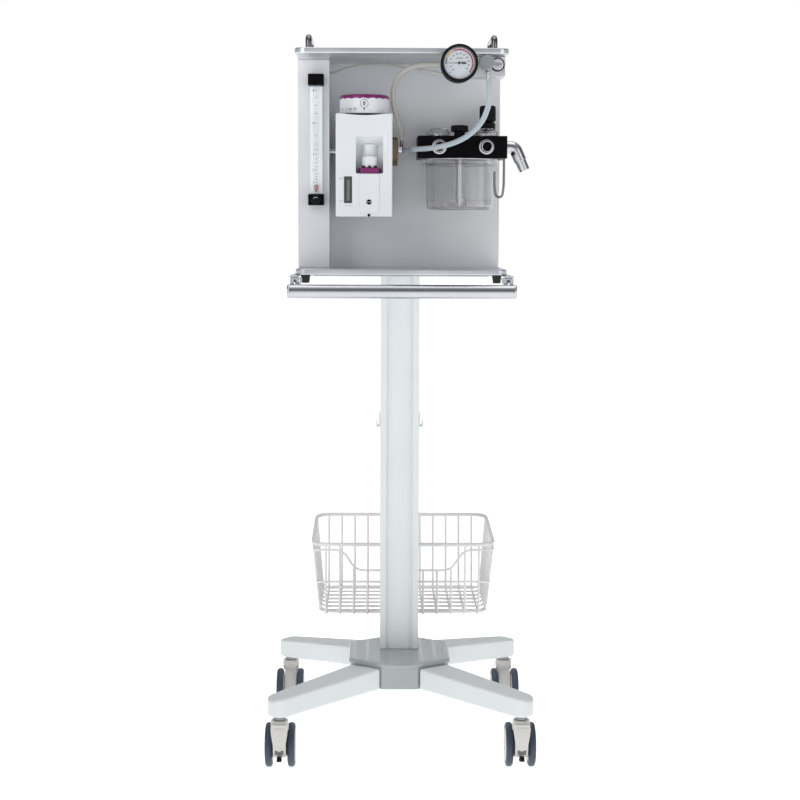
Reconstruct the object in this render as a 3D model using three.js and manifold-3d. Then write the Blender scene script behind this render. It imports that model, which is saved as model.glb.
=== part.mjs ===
// Veterinary anaesthesia machine on a four-caster trolley. Millimetres, +Z up, front faces -Y.
// Lengths along Y are written from the middle of the trolley's hub. The whole model is then moved
// so that its origin is the middle of its footprint on the floor.
import * as THREE from 'three';
import { mergeVertices } from 'three/addons/utils/BufferGeometryUtils.js';
import Module from 'manifold-3d';

const wasm = await Module();
wasm.setup();

// ---- driving dimensions ----
const gap = 0.3;                       // left between touching pieces
const footprintMiddleY = 51.5;         // middle of the footprint, from the hub's middle

const stemX = 240;                     // caster stems, from the hub's middle
const stemY = 237;
const wheelRadius = 44;
const wheelWidth = 17;
const wheelSpacing = 45;               // between the middles of a caster's two wheels
const casterTrail = 28;
const collarTop = 102.7;
const legBottomAtStem = 112;
const stemRadius = 11.5;
const hub = { frontHalf: 37, sideHalf: 72, halfX: 103, halfY: 120, bottom: 130, top: 184.5 };

const column = { halfX: 40.5, front: 5, back: 71 };
const columnMiddleY = (column.front + column.back) / 2;
const bar = { y: -225, z: 951.5, radius: 14, halfLength: 223.5 };
const basket = { middleX: 10, rimHalfX: 199, floorHalfX: 182, near: 78, far: 378, floorNear: 86,
  floorFar: 350, rimNear: 398, rimFar: 413, floor: 243, wall: 3 };

const plate = { halfX: 212, front: -132, back: 133, corner: 22, thick: 11 };
const baseTop = 992;
const baseBottom = baseTop - plate.thick;
const roofBottom = 1416.5;
const roofTop = roofBottom + 11.5;
const trayTop = baseBottom - gap;
const trayBottom = trayTop - 3;
const panelFront = 111;
const panelBack = 114;
const postInnerX = -147;               // inner side of the flowmeter's post
const postFront = 11;

const meterX = -173.7;
const meterBottom = 1120;
const meterTop = 1385.3;
const meterBlockHeight = 22.6;
const vapour = { left: -132, right: -18, front: -85, back: 62.5, bottom: 1096.6, top: 1303.5 };
const dialX = -74.7;
const dialY = -28;
const portZ = 1231;                    // the vaporizer's gas ports
const teeX = vapour.right + 12.5 + gap;
const teeY = 15;
const teeZ = 1234;
const sideBarb = 13.5;                 // how far the tee's slanting barb reaches along X and along -Y
const absorber = { left: 34, right: 217, front: -32, back: 88, bottom: 1216, top: 1261.5 };
const canisterX = 122;
const canisterY = 28;
const leftValveX = 78;
const rightValveX = 174;
const valveY = 5;
const reliefX = 182;
const reliefY = 58;
const control = { left: 96, right: 207.5, front: -80, back: -5, bottom: 1377 };
const gaugeX = 110.2;
const gaugeZ = 1392.9;
const gaugeFront = -197;
const gaugeBack = -134.5;
const flushX = 192;
const flushZ = 1400.2;
const outletX = 168.3;
const outletZ = 1401.5;

// ---- finishes ----
function finish(color, roughness, metalness = 0, extra = {}) {
  return new THREE.MeshStandardMaterial({ color, roughness, metalness, ...extra });
}
const whitePaint = finish(0xeef1f1, 0.4);
const greyPaint = finish(0x97a09f, 0.35);
const whiteEnamel = finish(0xf2f2f0, 0.3);
const satinAluminium = finish(0xc3c8cd, 0.4, 0.8);
const brushedSteel = finish(0xb9bdc1, 0.3, 0.9);
const chrome = finish(0xd6d8da, 0.12, 1);
const blackAnodised = finish(0x101012, 0.35, 0.3);
const blackPlastic = finish(0x161618, 0.5);
const whitePlastic = finish(0xe8eaec, 0.4);
const purplePlastic = finish(0x7d1f6b, 0.4);
const clearPlastic = finish(0xdfe3e4, 0.08, 0, { transparent: true, opacity: 0.4 });
const tyreGrey = finish(0x46505f, 0.6);
const casterGrey = finish(0xe1ded9, 0.5);
const redPlastic = finish(0xb4261f, 0.4);
const bronze = finish(0x7b6551, 0.5, 0.4);
const hoseClear = finish(0xc9d2d8, 0.3, 0, { transparent: true, opacity: 0.8 });
const hoseMilky = finish(0xc9c6bd, 0.4);
const rubber = finish(0x0e0e0f, 0.8);

// ---- solids: closed, welded and facing out ----
function signedVolume(corners, triangles) {
  let volume = 0;
  const a = new THREE.Vector3();
  const b = new THREE.Vector3();
  const c = new THREE.Vector3();
  for (let t = 0; t < triangles.length; t += 3) {
    a.fromBufferAttribute(corners, triangles[t]);
    b.fromBufferAttribute(corners, triangles[t + 1]);
    c.fromBufferAttribute(corners, triangles[t + 2]);
    volume += a.dot(b.cross(c)) / 6;
  }
  return volume;
}

function toSolid(shape) {
  const bare = shape.clone();
  for (const name of Object.keys(bare.attributes)) {
    if (name !== 'position') bare.deleteAttribute(name);
  }
  const welded = mergeVertices(bare, 1e-4);
  const corners = welded.attributes.position;
  const triangles = [];
  for (let t = 0; t < welded.index.count; t += 3) {
    const [i, j, k] = [welded.index.getX(t), welded.index.getX(t + 1), welded.index.getX(t + 2)];
    if (i !== j && j !== k && k !== i) triangles.push(i, j, k);
  }
  if (signedVolume(corners, triangles) < 0) triangles.reverse();
  const mesh = new wasm.Mesh({
    numProp: 3,
    vertProperties: Float32Array.from(corners.array),
    triVerts: Uint32Array.from(triangles),
  });
  return new wasm.Manifold(mesh);
}

function toGeometry(solid) {
  const mesh = solid.getMesh();
  const shape = new THREE.BufferGeometry();
  shape.setAttribute('position', new THREE.BufferAttribute(Float32Array.from(mesh.vertProperties), 3));
  shape.setIndex(new THREE.BufferAttribute(Uint32Array.from(mesh.triVerts), 1));
  return shape;
}

const join = (first, ...rest) => toGeometry(rest.reduce((sum, s) => sum.add(toSolid(s)), toSolid(first)));
const cut = (first, ...rest) => (
  toGeometry(rest.reduce((sum, s) => sum.subtract(toSolid(s)), toSolid(first))));
const common = (first, second) => toGeometry(toSolid(first).intersect(toSolid(second)));

// ---- basic shapes ----
function slab(x0, x1, y0, y1, z0, z1) {
  const shape = new THREE.BoxGeometry(x1 - x0, y1 - y0, z1 - z0);
  return shape.translate((x0 + x1) / 2, (y0 + y1) / 2, (z0 + z1) / 2);
}

function rod(from, to, radius, sides = 24, endRadius = radius) {
  const start = new THREE.Vector3(...from);
  const along = new THREE.Vector3(...to).sub(start);
  const shape = new THREE.CylinderGeometry(endRadius, radius, along.length(), sides);
  shape.translate(0, along.length() / 2, 0);
  const turn = new THREE.Quaternion().setFromUnitVectors(new THREE.Vector3(0, 1, 0), along.normalize());
  return shape.applyQuaternion(turn).translate(start.x, start.y, start.z);
}

function outlineOf(points) {
  return new THREE.Shape(points.map(([x, y]) => new THREE.Vector2(x, y)));
}

function roundedRectangle(x0, x1, y0, y1, radius) {
  const shape = new THREE.Shape();
  shape.moveTo(x0 + radius, y0);
  shape.absarc(x1 - radius, y0 + radius, radius, -Math.PI / 2, 0);
  shape.absarc(x1 - radius, y1 - radius, radius, 0, Math.PI / 2);
  shape.absarc(x0 + radius, y1 - radius, radius, Math.PI / 2, Math.PI);
  shape.absarc(x0 + radius, y0 + radius, radius, Math.PI, 1.5 * Math.PI);
  return shape;
}

// An outline drawn in X and Y, standing from z0 to z1.
function upright(shape, z0, z1, curveSegments = 6) {
  const solid = new THREE.ExtrudeGeometry(shape, { depth: z1 - z0, bevelEnabled: false, curveSegments });
  return solid.translate(0, 0, z0);
}

// An outline drawn in Y and Z, running from x0 to x1.
function acrossX(points, x0, x1) {
  const solid = new THREE.ExtrudeGeometry(outlineOf(points), { depth: x1 - x0, bevelEnabled: false });
  const axes = [new THREE.Vector3(0, 1, 0), new THREE.Vector3(0, 0, 1), new THREE.Vector3(1, 0, 0)];
  return solid.applyMatrix4(new THREE.Matrix4().makeBasis(...axes)).translate(x0, 0, 0);
}

// An outline drawn in X and Z, running from y0 to y1.
function acrossY(points, y0, y1) {
  const solid = new THREE.ExtrudeGeometry(outlineOf(points), { depth: y1 - y0, bevelEnabled: false });
  const axes = [new THREE.Vector3(1, 0, 0), new THREE.Vector3(0, 0, 1), new THREE.Vector3(0, -1, 0)];
  return solid.applyMatrix4(new THREE.Matrix4().makeBasis(...axes)).translate(0, y1, 0);
}

// A profile of [radius, height] pairs turned about Z, then stood at x, y.
function turned(profile, x = 0, y = 0, sides = 32) {
  const points = profile.map(([r, z]) => new THREE.Vector2(r, z));
  return new THREE.LatheGeometry(points, sides).rotateX(Math.PI / 2).translate(x, y, 0);
}

// A profile of [radius, depth along Y] pairs turned about Y, at x, z.
function turnedAboutY(profile, x, z, sides = 30) {
  return new THREE.LatheGeometry(profile.map(([r, y]) => new THREE.Vector2(r, y)), sides).translate(x, 0, z);
}

// A round tube that follows a smooth curve through the points.
function tubeAlong(points, radius, sides, steps) {
  const path = new THREE.CatmullRomCurve3(points.map((p) => new THREE.Vector3(...p)), false, 'centripetal');
  const section = new THREE.Shape();
  for (let i = 0; i < sides; i += 1) {
    const angle = (i / sides) * 2 * Math.PI;
    section[i === 0 ? 'moveTo' : 'lineTo'](radius * Math.cos(angle), radius * Math.sin(angle));
  }
  return new THREE.ExtrudeGeometry(section, { steps, extrudePath: path, bevelEnabled: false });
}

// ---- the assembly ----
const machine = new THREE.Group();
machine.name = 'anaesthesia_machine';
machine.position.set(0, -footprintMiddleY, 0);

function place(name, shape, material) {
  const mesh = new THREE.Mesh(toGeometry(toSolid(shape)), material);
  mesh.name = name;
  machine.add(mesh);
  return mesh;
}

// ---- trolley base ----
function hubOutline(grow = 0) {
  const { frontHalf, sideHalf, halfX, halfY } = hub;
  const quarter = [[frontHalf + grow, halfY + grow], [halfX + grow, sideHalf + grow]];
  const right = [...quarter.map(([x, y]) => [x, -y]), ...quarter.reverse()];
  const left = right.map(([x, y]) => [-x, y]).reverse();
  return outlineOf([...right, ...left]);
}

function makeHub() {
  const edge = 6;
  const body = new THREE.ExtrudeGeometry(hubOutline(), {
    depth: hub.top - hub.bottom - 2 * edge,
    bevelThickness: edge,
    bevelSize: 4,
    bevelOffset: -4,
    bevelSegments: 2,
  });
  place('base_hub', body.translate(0, 0, hub.bottom + edge), greyPaint);
}

// A leg runs out along +X before it is turned to its corner.
function makeLeg(name, signX, signY) {
  const rootX = (hub.frontHalf + hub.halfX) / 2;
  const rootY = (hub.halfY + hub.sideHalf) / 2;
  const reach = Math.hypot(stemX - rootX, stemY - rootY);
  const tip = 24;
  const rootHalf = 38.6;
  const inside = -40;
  const plan = new THREE.Shape();
  plan.moveTo(inside, -rootHalf);
  plan.lineTo(reach, -tip);
  plan.absarc(reach, 0, tip, -Math.PI / 2, Math.PI / 2);
  plan.lineTo(inside, rootHalf);
  const side = [
    [inside, 130], [0, 130], [reach, legBottomAtStem], [reach + 26, legBottomAtStem + 1], [reach + 26, 144],
    [reach + 14, 150], [reach - 30, 155], [0, 174], [inside, 174],
  ];
  const beam = common(upright(plan, 90, 200), acrossY(side, -60, 60));
  const stem = rod([reach, 0, collarTop + gap], [reach, 0, legBottomAtStem + 6], stemRadius);
  const heading = Math.atan2(signY * (stemY - rootY), signX * (stemX - rootX));
  const whole = join(beam, stem).rotateZ(heading).translate(signX * rootX, signY * rootY, 0);
  place(name, cut(whole, upright(hubOutline(gap), 0, 300)), whitePaint);
}

// ---- casters, modelled with the outward side at -Y and turned about their stems ----
function casterHousing() {
  const half = (wheelSpacing - wheelWidth) / 2 - 1.3;
  const side = [
    [17, 84], [17, 100], [-17, 100], [-23, 92], [-24.5, 70], [-22, 50], [-16, 39], [-10, 29],
    [6, 25], [28, 22], [46, 26], [52, 44], [46, 64], [30, 78],
  ];
  const tongueHalf = [[8, 39], [10.5, 42], [16, 88], [16, 98]];
  const tongueOutline = [...tongueHalf, ...tongueHalf.map(([x, z]) => [-x, z]).reverse()];
  const tongue = acrossY(tongueOutline, -24.5, -17.3);
  const collar = rod([0, 0, 82], [0, 0, collarTop], 17, 28);
  const body = join(acrossX(side, -half, half), tongue, collar);
  return cut(body, rod([-40, casterTrail, wheelRadius], [40, casterTrail, wheelRadius], 4.5, 16));
}

function wheelPair() {
  const half = wheelWidth / 2;
  const tread = [[0, -half], [36, -half], [41.5, -half + 1.6], [wheelRadius, -half + 6]];
  const profile = [...tread, ...tread.map(([r, x]) => [r, -x]).reverse()];
  const wheels = [-1, 1].map((side) => {
    const wheel = new THREE.LatheGeometry(profile.map(([r, x]) => new THREE.Vector2(r, x)), 22);
    return wheel.rotateZ(Math.PI / 2).translate((side * wheelSpacing) / 2, casterTrail, wheelRadius);
  });
  const axle = rod([-20, casterTrail, wheelRadius], [20, casterTrail, wheelRadius], 4, 16);
  return join(axle, ...wheels);
}

function brakePedal() {
  const side = [[-5, 25], [-11, 28], [-16, 33], [-24, 35.5], [-35, 36], [-38, 33], [-37, 28], [-31, 26],
    [-12, 21.5], [-5, 21.5]];
  return acrossX(side, -4.5, 4.5);
}

function makeCaster(corner, signX, signY) {
  const turn = signY < 0 ? 0 : Math.PI;
  const put = (shape) => shape.rotateZ(turn).translate(signX * stemX, signY * stemY, 0);
  place(`caster_housing_${corner}`, put(casterHousing()), casterGrey);
  place(`caster_wheels_${corner}`, put(wheelPair()), tyreGrey);
  if (signY < 0) place(`brake_pedal_${corner}`, put(brakePedal()), blackPlastic);
}

// ---- column, tray, bar and basket ----
function makeColumn() {
  const { halfX, front, back } = column;
  const groove = 7;
  const face = (y, inward) => {
    const points = [[-halfX, y], [-28, y], [-26, y + inward * groove], [-22, y + inward * groove]];
    for (let x = -15; x <= 15; x += 7.5) points.push([x, y + inward * (1.5 + 5.5 * (x / 22) ** 2)]);
    points.push([22, y + inward * groove], [26, y + inward * groove], [28, y], [halfX, y]);
    return points;
  };
  const outline = [...face(front, 1), ...face(back, -1).reverse()];
  place('column', upright(outlineOf(outline), hub.top + gap, trayBottom - gap), whitePaint);
}

function makeTray() {
  const wingOuter = 221;
  const wingInner = 203;
  const half = [[175, -128], [175, -90], [wingInner, -90], [wingInner, -205], [wingOuter - 8, -205],
    [wingOuter, -197], [wingOuter, -90], [plate.halfX, 110], [plate.halfX, 125]];
  const outline = [...half, ...half.map(([x, y]) => [-x, y]).reverse()];
  place('tray', upright(outlineOf(outline), trayBottom, trayTop), satinAluminium);
}

function makeBar() {
  const { y, z, radius, halfLength } = bar;
  const end = [[0, 0], [radius - 2, 0], [radius, 2.5]];
  const profile = [...end, ...end.map(([r, x]) => [r, 2 * halfLength - x]).reverse()];
  const tube = new THREE.LatheGeometry(profile.map(([r, x]) => new THREE.Vector2(r, x)), 28);
  place('handle_bar', tube.rotateZ(-Math.PI / 2).translate(-halfLength, y, z), brushedSteel);
}

function makeBarBracket(name, side) {
  const behind = bar.y + bar.radius + gap;
  const web = slab(211, 218, behind, -190, bar.z - 12, trayBottom - gap);
  const flange = slab(196, 218, behind, -178, trayBottom - gap - 3, trayBottom - gap);
  const dome = [[0, 963], [4, 964], [6.5, 967], [6.5, trayBottom - 2], [0, trayBottom - 2]];
  const nut = turned(dome, 203.5, -190, 12);
  const shape = join(web, flange, nut);
  place(name, side > 0 ? shape : shape.rotateZ(Math.PI).scale(1, -1, 1), satinAluminium);
}

// The tapered tub that the wire basket fills: what its front and its side outlines share.
function taperedTub(inset) {
  const { rimHalfX, floorHalfX, near, far, floorNear, floorFar, rimNear, rimFar, floor } = basket;
  const lift = inset > 0 ? 40 : 0;
  const spread = inset > 0 ? 4.4 : 0;
  const front = [[-floorHalfX + inset, floor + inset], [floorHalfX - inset, floor + inset],
    [rimHalfX - inset + spread, rimFar + lift], [-rimHalfX + inset - spread, rimFar + lift]];
  const side = [[floorNear + inset, floor + inset], [floorFar - inset, floor + inset],
    [far - inset + lift * 0.17, rimFar + lift], [near + inset - lift * 0.05, rimNear + lift]];
  return common(acrossY(front, near - 20, far + 20), acrossX(side, -rimHalfX - 20, rimHalfX + 20));
}

function makeBasket() {
  const tub = cut(taperedTub(0), taperedTub(basket.wall));
  const bracket = slab(-25, 25, column.back + gap, basket.near + 4, 340, 392);
  place('basket', join(tub.translate(basket.middleX, 0, 0), bracket), whiteEnamel);
}

function makeCableClip(name, side) {
  const inner = column.halfX + gap;
  const shape = slab(inner, inner + 8.5, columnMiddleY - 7, columnMiddleY + 7, 656, 686);
  place(name, side > 0 ? shape : shape.translate(-2 * inner - 8.5, 0, 0), whitePaint);
}

// ---- frame of the head ----
function makePlates() {
  const outline = roundedRectangle(-plate.halfX, plate.halfX, plate.front, plate.back, plate.corner);
  place('base_plate', upright(outline, baseBottom, baseTop), satinAluminium);
  place('roof_plate', upright(outline, roofBottom, roofTop), satinAluminium);
}

function makePanelAndPost() {
  const inletX = -178;
  const half = plate.halfX - 0.5;
  const sheet = slab(-half, half, panelFront, panelBack, baseTop + gap, roofBottom - gap);
  const inlet = rod([inletX, panelBack - 1, 1040], [inletX, panelBack + 16, 1040], 9, 6);
  const tail = rod([inletX, panelBack + 15, 1040], [inletX, panelBack + 30, 1040], 6, 16);
  place('back_panel', join(sheet, inlet, tail), satinAluminium);

  const outer = slab(-half, postInnerX, postFront, panelFront - gap, baseTop + gap, roofBottom - gap);
  const inner = slab(2 - half, postInnerX - 2, postFront + 2, panelFront + 10, baseTop - 5, roofBottom + 5);
  place('flowmeter_post', cut(outer, inner), satinAluminium);
}

function makeCarryHandle(name, x) {
  const foot = roofTop + gap;
  const top = 1455.5;
  const half = 62;
  const rise = [[-half, foot], [-half, foot + 12], [-half + 4, top - 5], [-half + 14, top]];
  const route = [...rise, [0, top], ...rise.map(([y, z]) => [-y, z]).reverse()];
  const loop = tubeAlong(route.map(([y, z]) => [x, y, z]), 5.5, 10, 18);
  const pads = [-half, half].map((y) => rod([x, y, foot], [x, y, foot + 3.5], 9, 16));
  place(name, join(loop, ...pads), chrome);
}

function makeFeet() {
  const y = -118;
  for (const [side, x] of [['left', -191.5], ['right', 191.5]]) {
    place(`foot_${side}`, rod([x, y, 964.5], [x, y, baseBottom - gap], 7.8, 20, 10), rubber);
  }
}

// ---- flowmeter ----
function makeFlowmeter() {
  const half = 16;
  const sleeveHalf = 13.8;
  const front = -25;
  const back = postFront - gap;
  const low = meterBottom + meterBlockHeight;
  const high = meterTop - meterBlockHeight;
  const boreY = -7;
  const block = (z0, z1) => slab(meterX - half, meterX + half, front, back, z0, z1);
  place('flowmeter_bottom_block', block(meterBottom, low), blackAnodised);
  place('flowmeter_top_block', block(high, meterTop), blackAnodised);
  const sleeve = slab(meterX - sleeveHalf, meterX + sleeveHalf, -19.5, 5.5, low + gap, high - gap);
  const bore = rod([meterX, boreY, low - 5], [meterX, boreY, high + 5], 6.2, 20);
  place('flowmeter_tube', cut(sleeve, bore), clearPlastic);
  const float = [[0, low + 4], [2.5, low + 6], [4.8, low + 13], [4.8, low + 19], [0, low + 19.5]];
  place('flow_float', turned(float, meterX, boreY, 20), redPlastic);
  const knob = rod([meterX, front - gap, meterBottom + 11], [meterX, front - 17, meterBottom + 11], 10.5, 24);
  place('flow_knob', knob, blackPlastic);
}

// ---- vaporizer ----
function makeVaporizer() {
  const { left, right, front, back, bottom, top } = vapour;
  const body = upright(roundedRectangle(left, right, front, back, 6), bottom, top);
  const wellSide = [[front - 2, 1183], [front - 2, 1256], [front, 1256], [-52, 1236], [-50, 1183]];
  const well = acrossX(wellSide, -92, -36);
  const ledge = upright(outlineOf([[-86, -60], [-82, -82], [-46, -82], [-41, -60], [-41, -45], [-86, -45]]),
    1180, 1195);
  const pad = upright(roundedRectangle(-84.5, -44, front - 3, front + 5, 2), bottom + 8, 1183.5);
  const inlet = rod([postInnerX + gap, 20, portZ], [left + 5, 20, portZ], 7);
  place('vaporizer_body', join(cut(body, well), ledge, pad, inlet), whitePlastic);

  const dial = [[0, top + gap], [50.5, top + gap], [49.2, 1333], [49.8, 1334], [49.4, 1338.5],
    [45, 1341.7], [0, 1341.7]];
  place('vaporizer_dial', turned(dial, dialX, dialY, 32), whitePlastic);

  const cap = [[0, 1195 + gap], [13.5, 1195 + gap], [15.2, 1198], [15.2, 1216], [14, 1217.5], [0, 1217.5]];
  place('filler_cap', turned(cap, -64, -69, 28), whitePlastic);

  const backBlock = slab(-120, right + 12.5, back + gap, panelFront - gap, 1205, 1262);
  const sideBlock = slab(right + gap, right + 12.5, 5, back + 5, 1213.5, 1254.4);
  place('vaporizer_mount', join(backBlock, sideBlock), bronze);

  const nut = rod([teeX, teeY, teeZ], [teeX + 13, teeY, teeZ], 7.6, 6);
  const middle = teeX + 7;
  const barb = rod([middle, teeY, teeZ], [middle + sideBarb, teeY - sideBarb, teeZ], 3.6, 14);
  const riser = rod([middle, teeY, teeZ], [middle, teeY, teeZ + 22], 3.6, 14);
  place('outlet_tee', join(nut, barb, riser), chrome);
}

// ---- absorber: block, ports, valves, canister, relief valve, elbow and hook ----
function breathingPort(x) {
  const z = 1239;
  const front = absorber.front;
  const flange = rod([x, front + 2, z], [x, front - 7, z], 15.8, 28);
  const nose = rod([x, front - 6, z], [x, front - 30, z], 12.2, 28, 11.2);
  const bore = rod([x, front + 12, z], [x, front - 32, z], 9.4, 24);
  return { outer: join(flange, nose), bore };
}

function makeAbsorberBlock() {
  const { left, right, front, back, bottom, top } = absorber;
  const body = slab(left, right, front, back, bottom, top);
  const arm = slab(80, 160, back - 1, panelFront - gap, bottom + 6, top - 6);
  const ports = [leftValveX, rightValveX].map(breathingPort);
  const solid = join(body, arm, ...ports.map((port) => port.outer));
  const rodHole = rod([canisterX, canisterY, bottom - 5], [canisterX, canisterY, top + 5], 5.4, 20);
  place('absorber_block', cut(solid, rodHole, ...ports.map((port) => port.bore)), blackAnodised);
}

function makeValves() {
  const foot = absorber.top + gap;
  const dome = [[0, foot], [25.2, foot], [25.2, foot + 9], [22, foot + 9.5], [20, foot + 14],
    [12, foot + 16.5], [0, foot + 16.8]];
  place('valve_dome_left', turned(dome, leftValveX, valveY, 24), clearPlastic);
  place('valve_dome_right', turned(dome, rightValveX, valveY, 24), clearPlastic);

  const seat = [[0, foot], [16, foot], [16.6, foot + 3], [16.6, foot + 29], [13, foot + 32], [0, foot + 32]];
  place('relief_valve_body', turned(seat, reliefX, reliefY, 28), blackPlastic);
  const hat = [[0, foot + 32 + gap], [14, foot + 32 + gap], [17.2, foot + 35], [17.2, foot + 63],
    [15.5, foot + 66], [0, foot + 66]];
  place('relief_valve_knob', turned(hat, reliefX, reliefY, 28), blackPlastic);
}

function makeCanister() {
  const lid = absorber.bottom - gap;
  const floor = 1111;
  const wall = [[0, floor], [60, floor], [67, floor + 3], [69, floor + 9], [70.6, lid - 12], [80, lid - 12],
    [80, lid], [66.8, lid], [65.2, floor + 9], [60, floor + 4], [10, floor + 4], [10, lid - 2], [7, lid - 2],
    [7, floor + 6], [0, floor + 6]];
  place('canister', turned(wall, canisterX, canisterY, 28), clearPlastic);

  const foot = absorber.top + gap;
  const tightener = [[0, floor + 9], [5, floor + 10], [5, foot], [11.3, foot], [11.3, foot + 10.5],
    [18, foot + 10.5], [18, foot + 23], [16, foot + 24], [0, foot + 24]];
  place('canister_knob', turned(tightener, canisterX, canisterY, 28), blackPlastic);
}

function makeElbow() {
  const y = 20;
  const z = 1240.3;
  const bendX = 236;
  const lean = THREE.MathUtils.degToRad(24.1);
  const down = (length) => [bendX + length * Math.sin(lean), y, z - length * Math.cos(lean)];
  const stub = rod([absorber.right + gap, y, z], [bendX, y, z], 13.3, 20);
  const ball = new THREE.SphereGeometry(13.3, 20, 10).translate(bendX, y, z);
  const neck = rod([bendX, y, z], down(29), 12.4, 20);
  const cone = rod(down(28), down(51.5), 11.6, 20, 11.1);
  const mouth = rod(down(22), down(60), 8.6, 16);
  place('outlet_elbow', cut(join(stub, ball, neck, cone), mouth), brushedSteel);
}

function makeBagHook() {
  const y = -20;
  const route = [[211, absorber.bottom - gap], [211, 1190], [211, 1152], [207.5, 1142], [201.5, 1138.5],
    [195.5, 1142], [192, 1152], [192, 1175], [192, 1190]];
  place('bag_hook', tubeAlong(route.map(([x, z]) => [x, y, z]), 2.5, 8, 20), chrome);
}

// ---- control block, gauge and flush button ----
function makeControlBlock() {
  const { left, right, front, back, bottom } = control;
  const body = slab(left, right, front, back, bottom, roofBottom - gap);
  const ring = rod([flushX, front + 1, flushZ], [flushX, front - 4, flushZ], 13.8, 28);
  const buttonHole = rod([flushX, front - 6, flushZ], [flushX, front + 10, flushZ], 11.9, 28);
  const neck = rod([outletX, front + 1, outletZ], [outletX, -111, outletZ], 8, 20);
  const disc = rod([outletX, -110, outletZ], [outletX, -122, outletZ], 15, 32);
  const barb = rod([outletX + 0.5, -115, outletZ - 10], [outletX + 3, -115, outletZ - 31], 3.6, 14);
  place('control_block', cut(join(body, ring, neck, disc, barb), buttonHole), satinAluminium);
  const button = rod([flushX, front + 6, flushZ], [flushX, front - 9, flushZ], 11.3, 28);
  place('flush_button', button, brushedSteel);
}

function makeGauge() {
  const dialFloor = gaugeFront + 6.5;
  const can = [[0, gaugeBack], [31, gaugeBack], [35.4, gaugeBack - 4], [35.4, gaugeFront + 14],
    [36.8, gaugeFront + 12], [36.8, gaugeFront + 1.5], [35, gaugeFront], [31.6, gaugeFront],
    [31.6, dialFloor], [0, dialFloor]];
  const stem = rod([gaugeX, gaugeBack - 2, gaugeZ], [gaugeX, control.front - gap, gaugeZ], 7, 20);
  place('pressure_gauge', join(turnedAboutY(can, gaugeX, gaugeZ), stem), blackPlastic);
  const pointer = acrossY([[-24, -0.6], [8, -1.6], [14, -2.2], [14, 2.2], [8, 1.6], [-24, 0.6]],
    dialFloor - 2.4, dialFloor - 1.4);
  const boss = rod([0, dialFloor - gap, 0], [0, dialFloor - 3, 0], 3, 16);
  place('gauge_needle', join(pointer, boss).translate(gaugeX, 0, gaugeZ), blackPlastic);
}

// ---- gas hoses: each ends just off the fitting that it is pushed on to ----
const outletHoseRoute = [
  [171.7, -115, 1369.9], [173.4, -115, 1356], [174.5, -114, 1340], [173, -112, 1322], [168.5, -109, 1305],
  [161, -105, 1288], [150, -101, 1273.5], [136, -98, 1261], [119, -95, 1250.5], [101, -91, 1243],
  [82, -85, 1238], [64, -76, 1235], [48, -62, 1233.7], [35, -46, 1233.6], [27, -30, 1234],
  [22.5, -14, 1234], [19.4, -4.5, 1234], [17.3, -0.3, 1234],
];
const teeRiserRoute = [
  [1.8, 15, 1256.4], [1, 15, 1268], [-3, 14, 1284], [-8.5, 12, 1302], [-14, 8, 1322], [-16.5, 3, 1342],
  [-14, -4, 1362], [-6, -12, 1379], [6, -20, 1391], [22, -27, 1399], [42, -33, 1403], [62, -37, 1403.5],
  [80, -40, 1402.5], [88, -40.6, 1402.2], [95.6, -41, 1402],
];
const supplyHoseRoute = [
  [-146.5, 62, 1394], [-140, 62, 1394.6], [-125, 59, 1400], [-108, 52, 1405.5], [-90, 45, 1408.5],
  [-70, 36, 1410], [-50, 26, 1409.5], [-30, 15, 1407.5], [-10, 4, 1404.5], [10, -6, 1400.5],
  [30, -14, 1396.5], [50, -20, 1392.5], [70, -24, 1389], [84, -26, 1387.2], [95.6, -27, 1386.5],
];

function makeHoses() {
  const teeEnd = [teeX + 7 + sideBarb + gap, teeY - sideBarb - gap, teeZ];
  place('hose_outlet', tubeAlong([...outletHoseRoute, teeEnd], 5, 10, 34), hoseClear);
  place('hose_tee_riser', tubeAlong(teeRiserRoute, 4.8, 10, 26), hoseMilky);
  place('hose_supply', tubeAlong(supplyHoseRoute, 2, 8, 40), hoseMilky);
}

makeHub();
for (const [corner, signX, signY] of [['front_left', -1, -1], ['front_right', 1, -1], ['back_left', -1, 1],
  ['back_right', 1, 1]]) {
  makeLeg(`leg_${corner}`, signX, signY);
  makeCaster(corner, signX, signY);
}
makeColumn();
makeTray();
makeBar();
makeBarBracket('bar_bracket_left', -1);
makeBarBracket('bar_bracket_right', 1);
makeBasket();
makeCableClip('cable_clip_left', -1);
makeCableClip('cable_clip_right', 1);
makePlates();
makePanelAndPost();
makeCarryHandle('carry_handle_left', -186.5);
makeCarryHandle('carry_handle_right', 186.5);
makeFeet();
makeFlowmeter();
makeVaporizer();
makeAbsorberBlock();
makeValves();
makeCanister();
makeElbow();
makeBagHook();
makeControlBlock();
makeGauge();
makeHoses();

export default machine;
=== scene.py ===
import math
import bpy
import bmesh
from mathutils import Matrix, Vector


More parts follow.
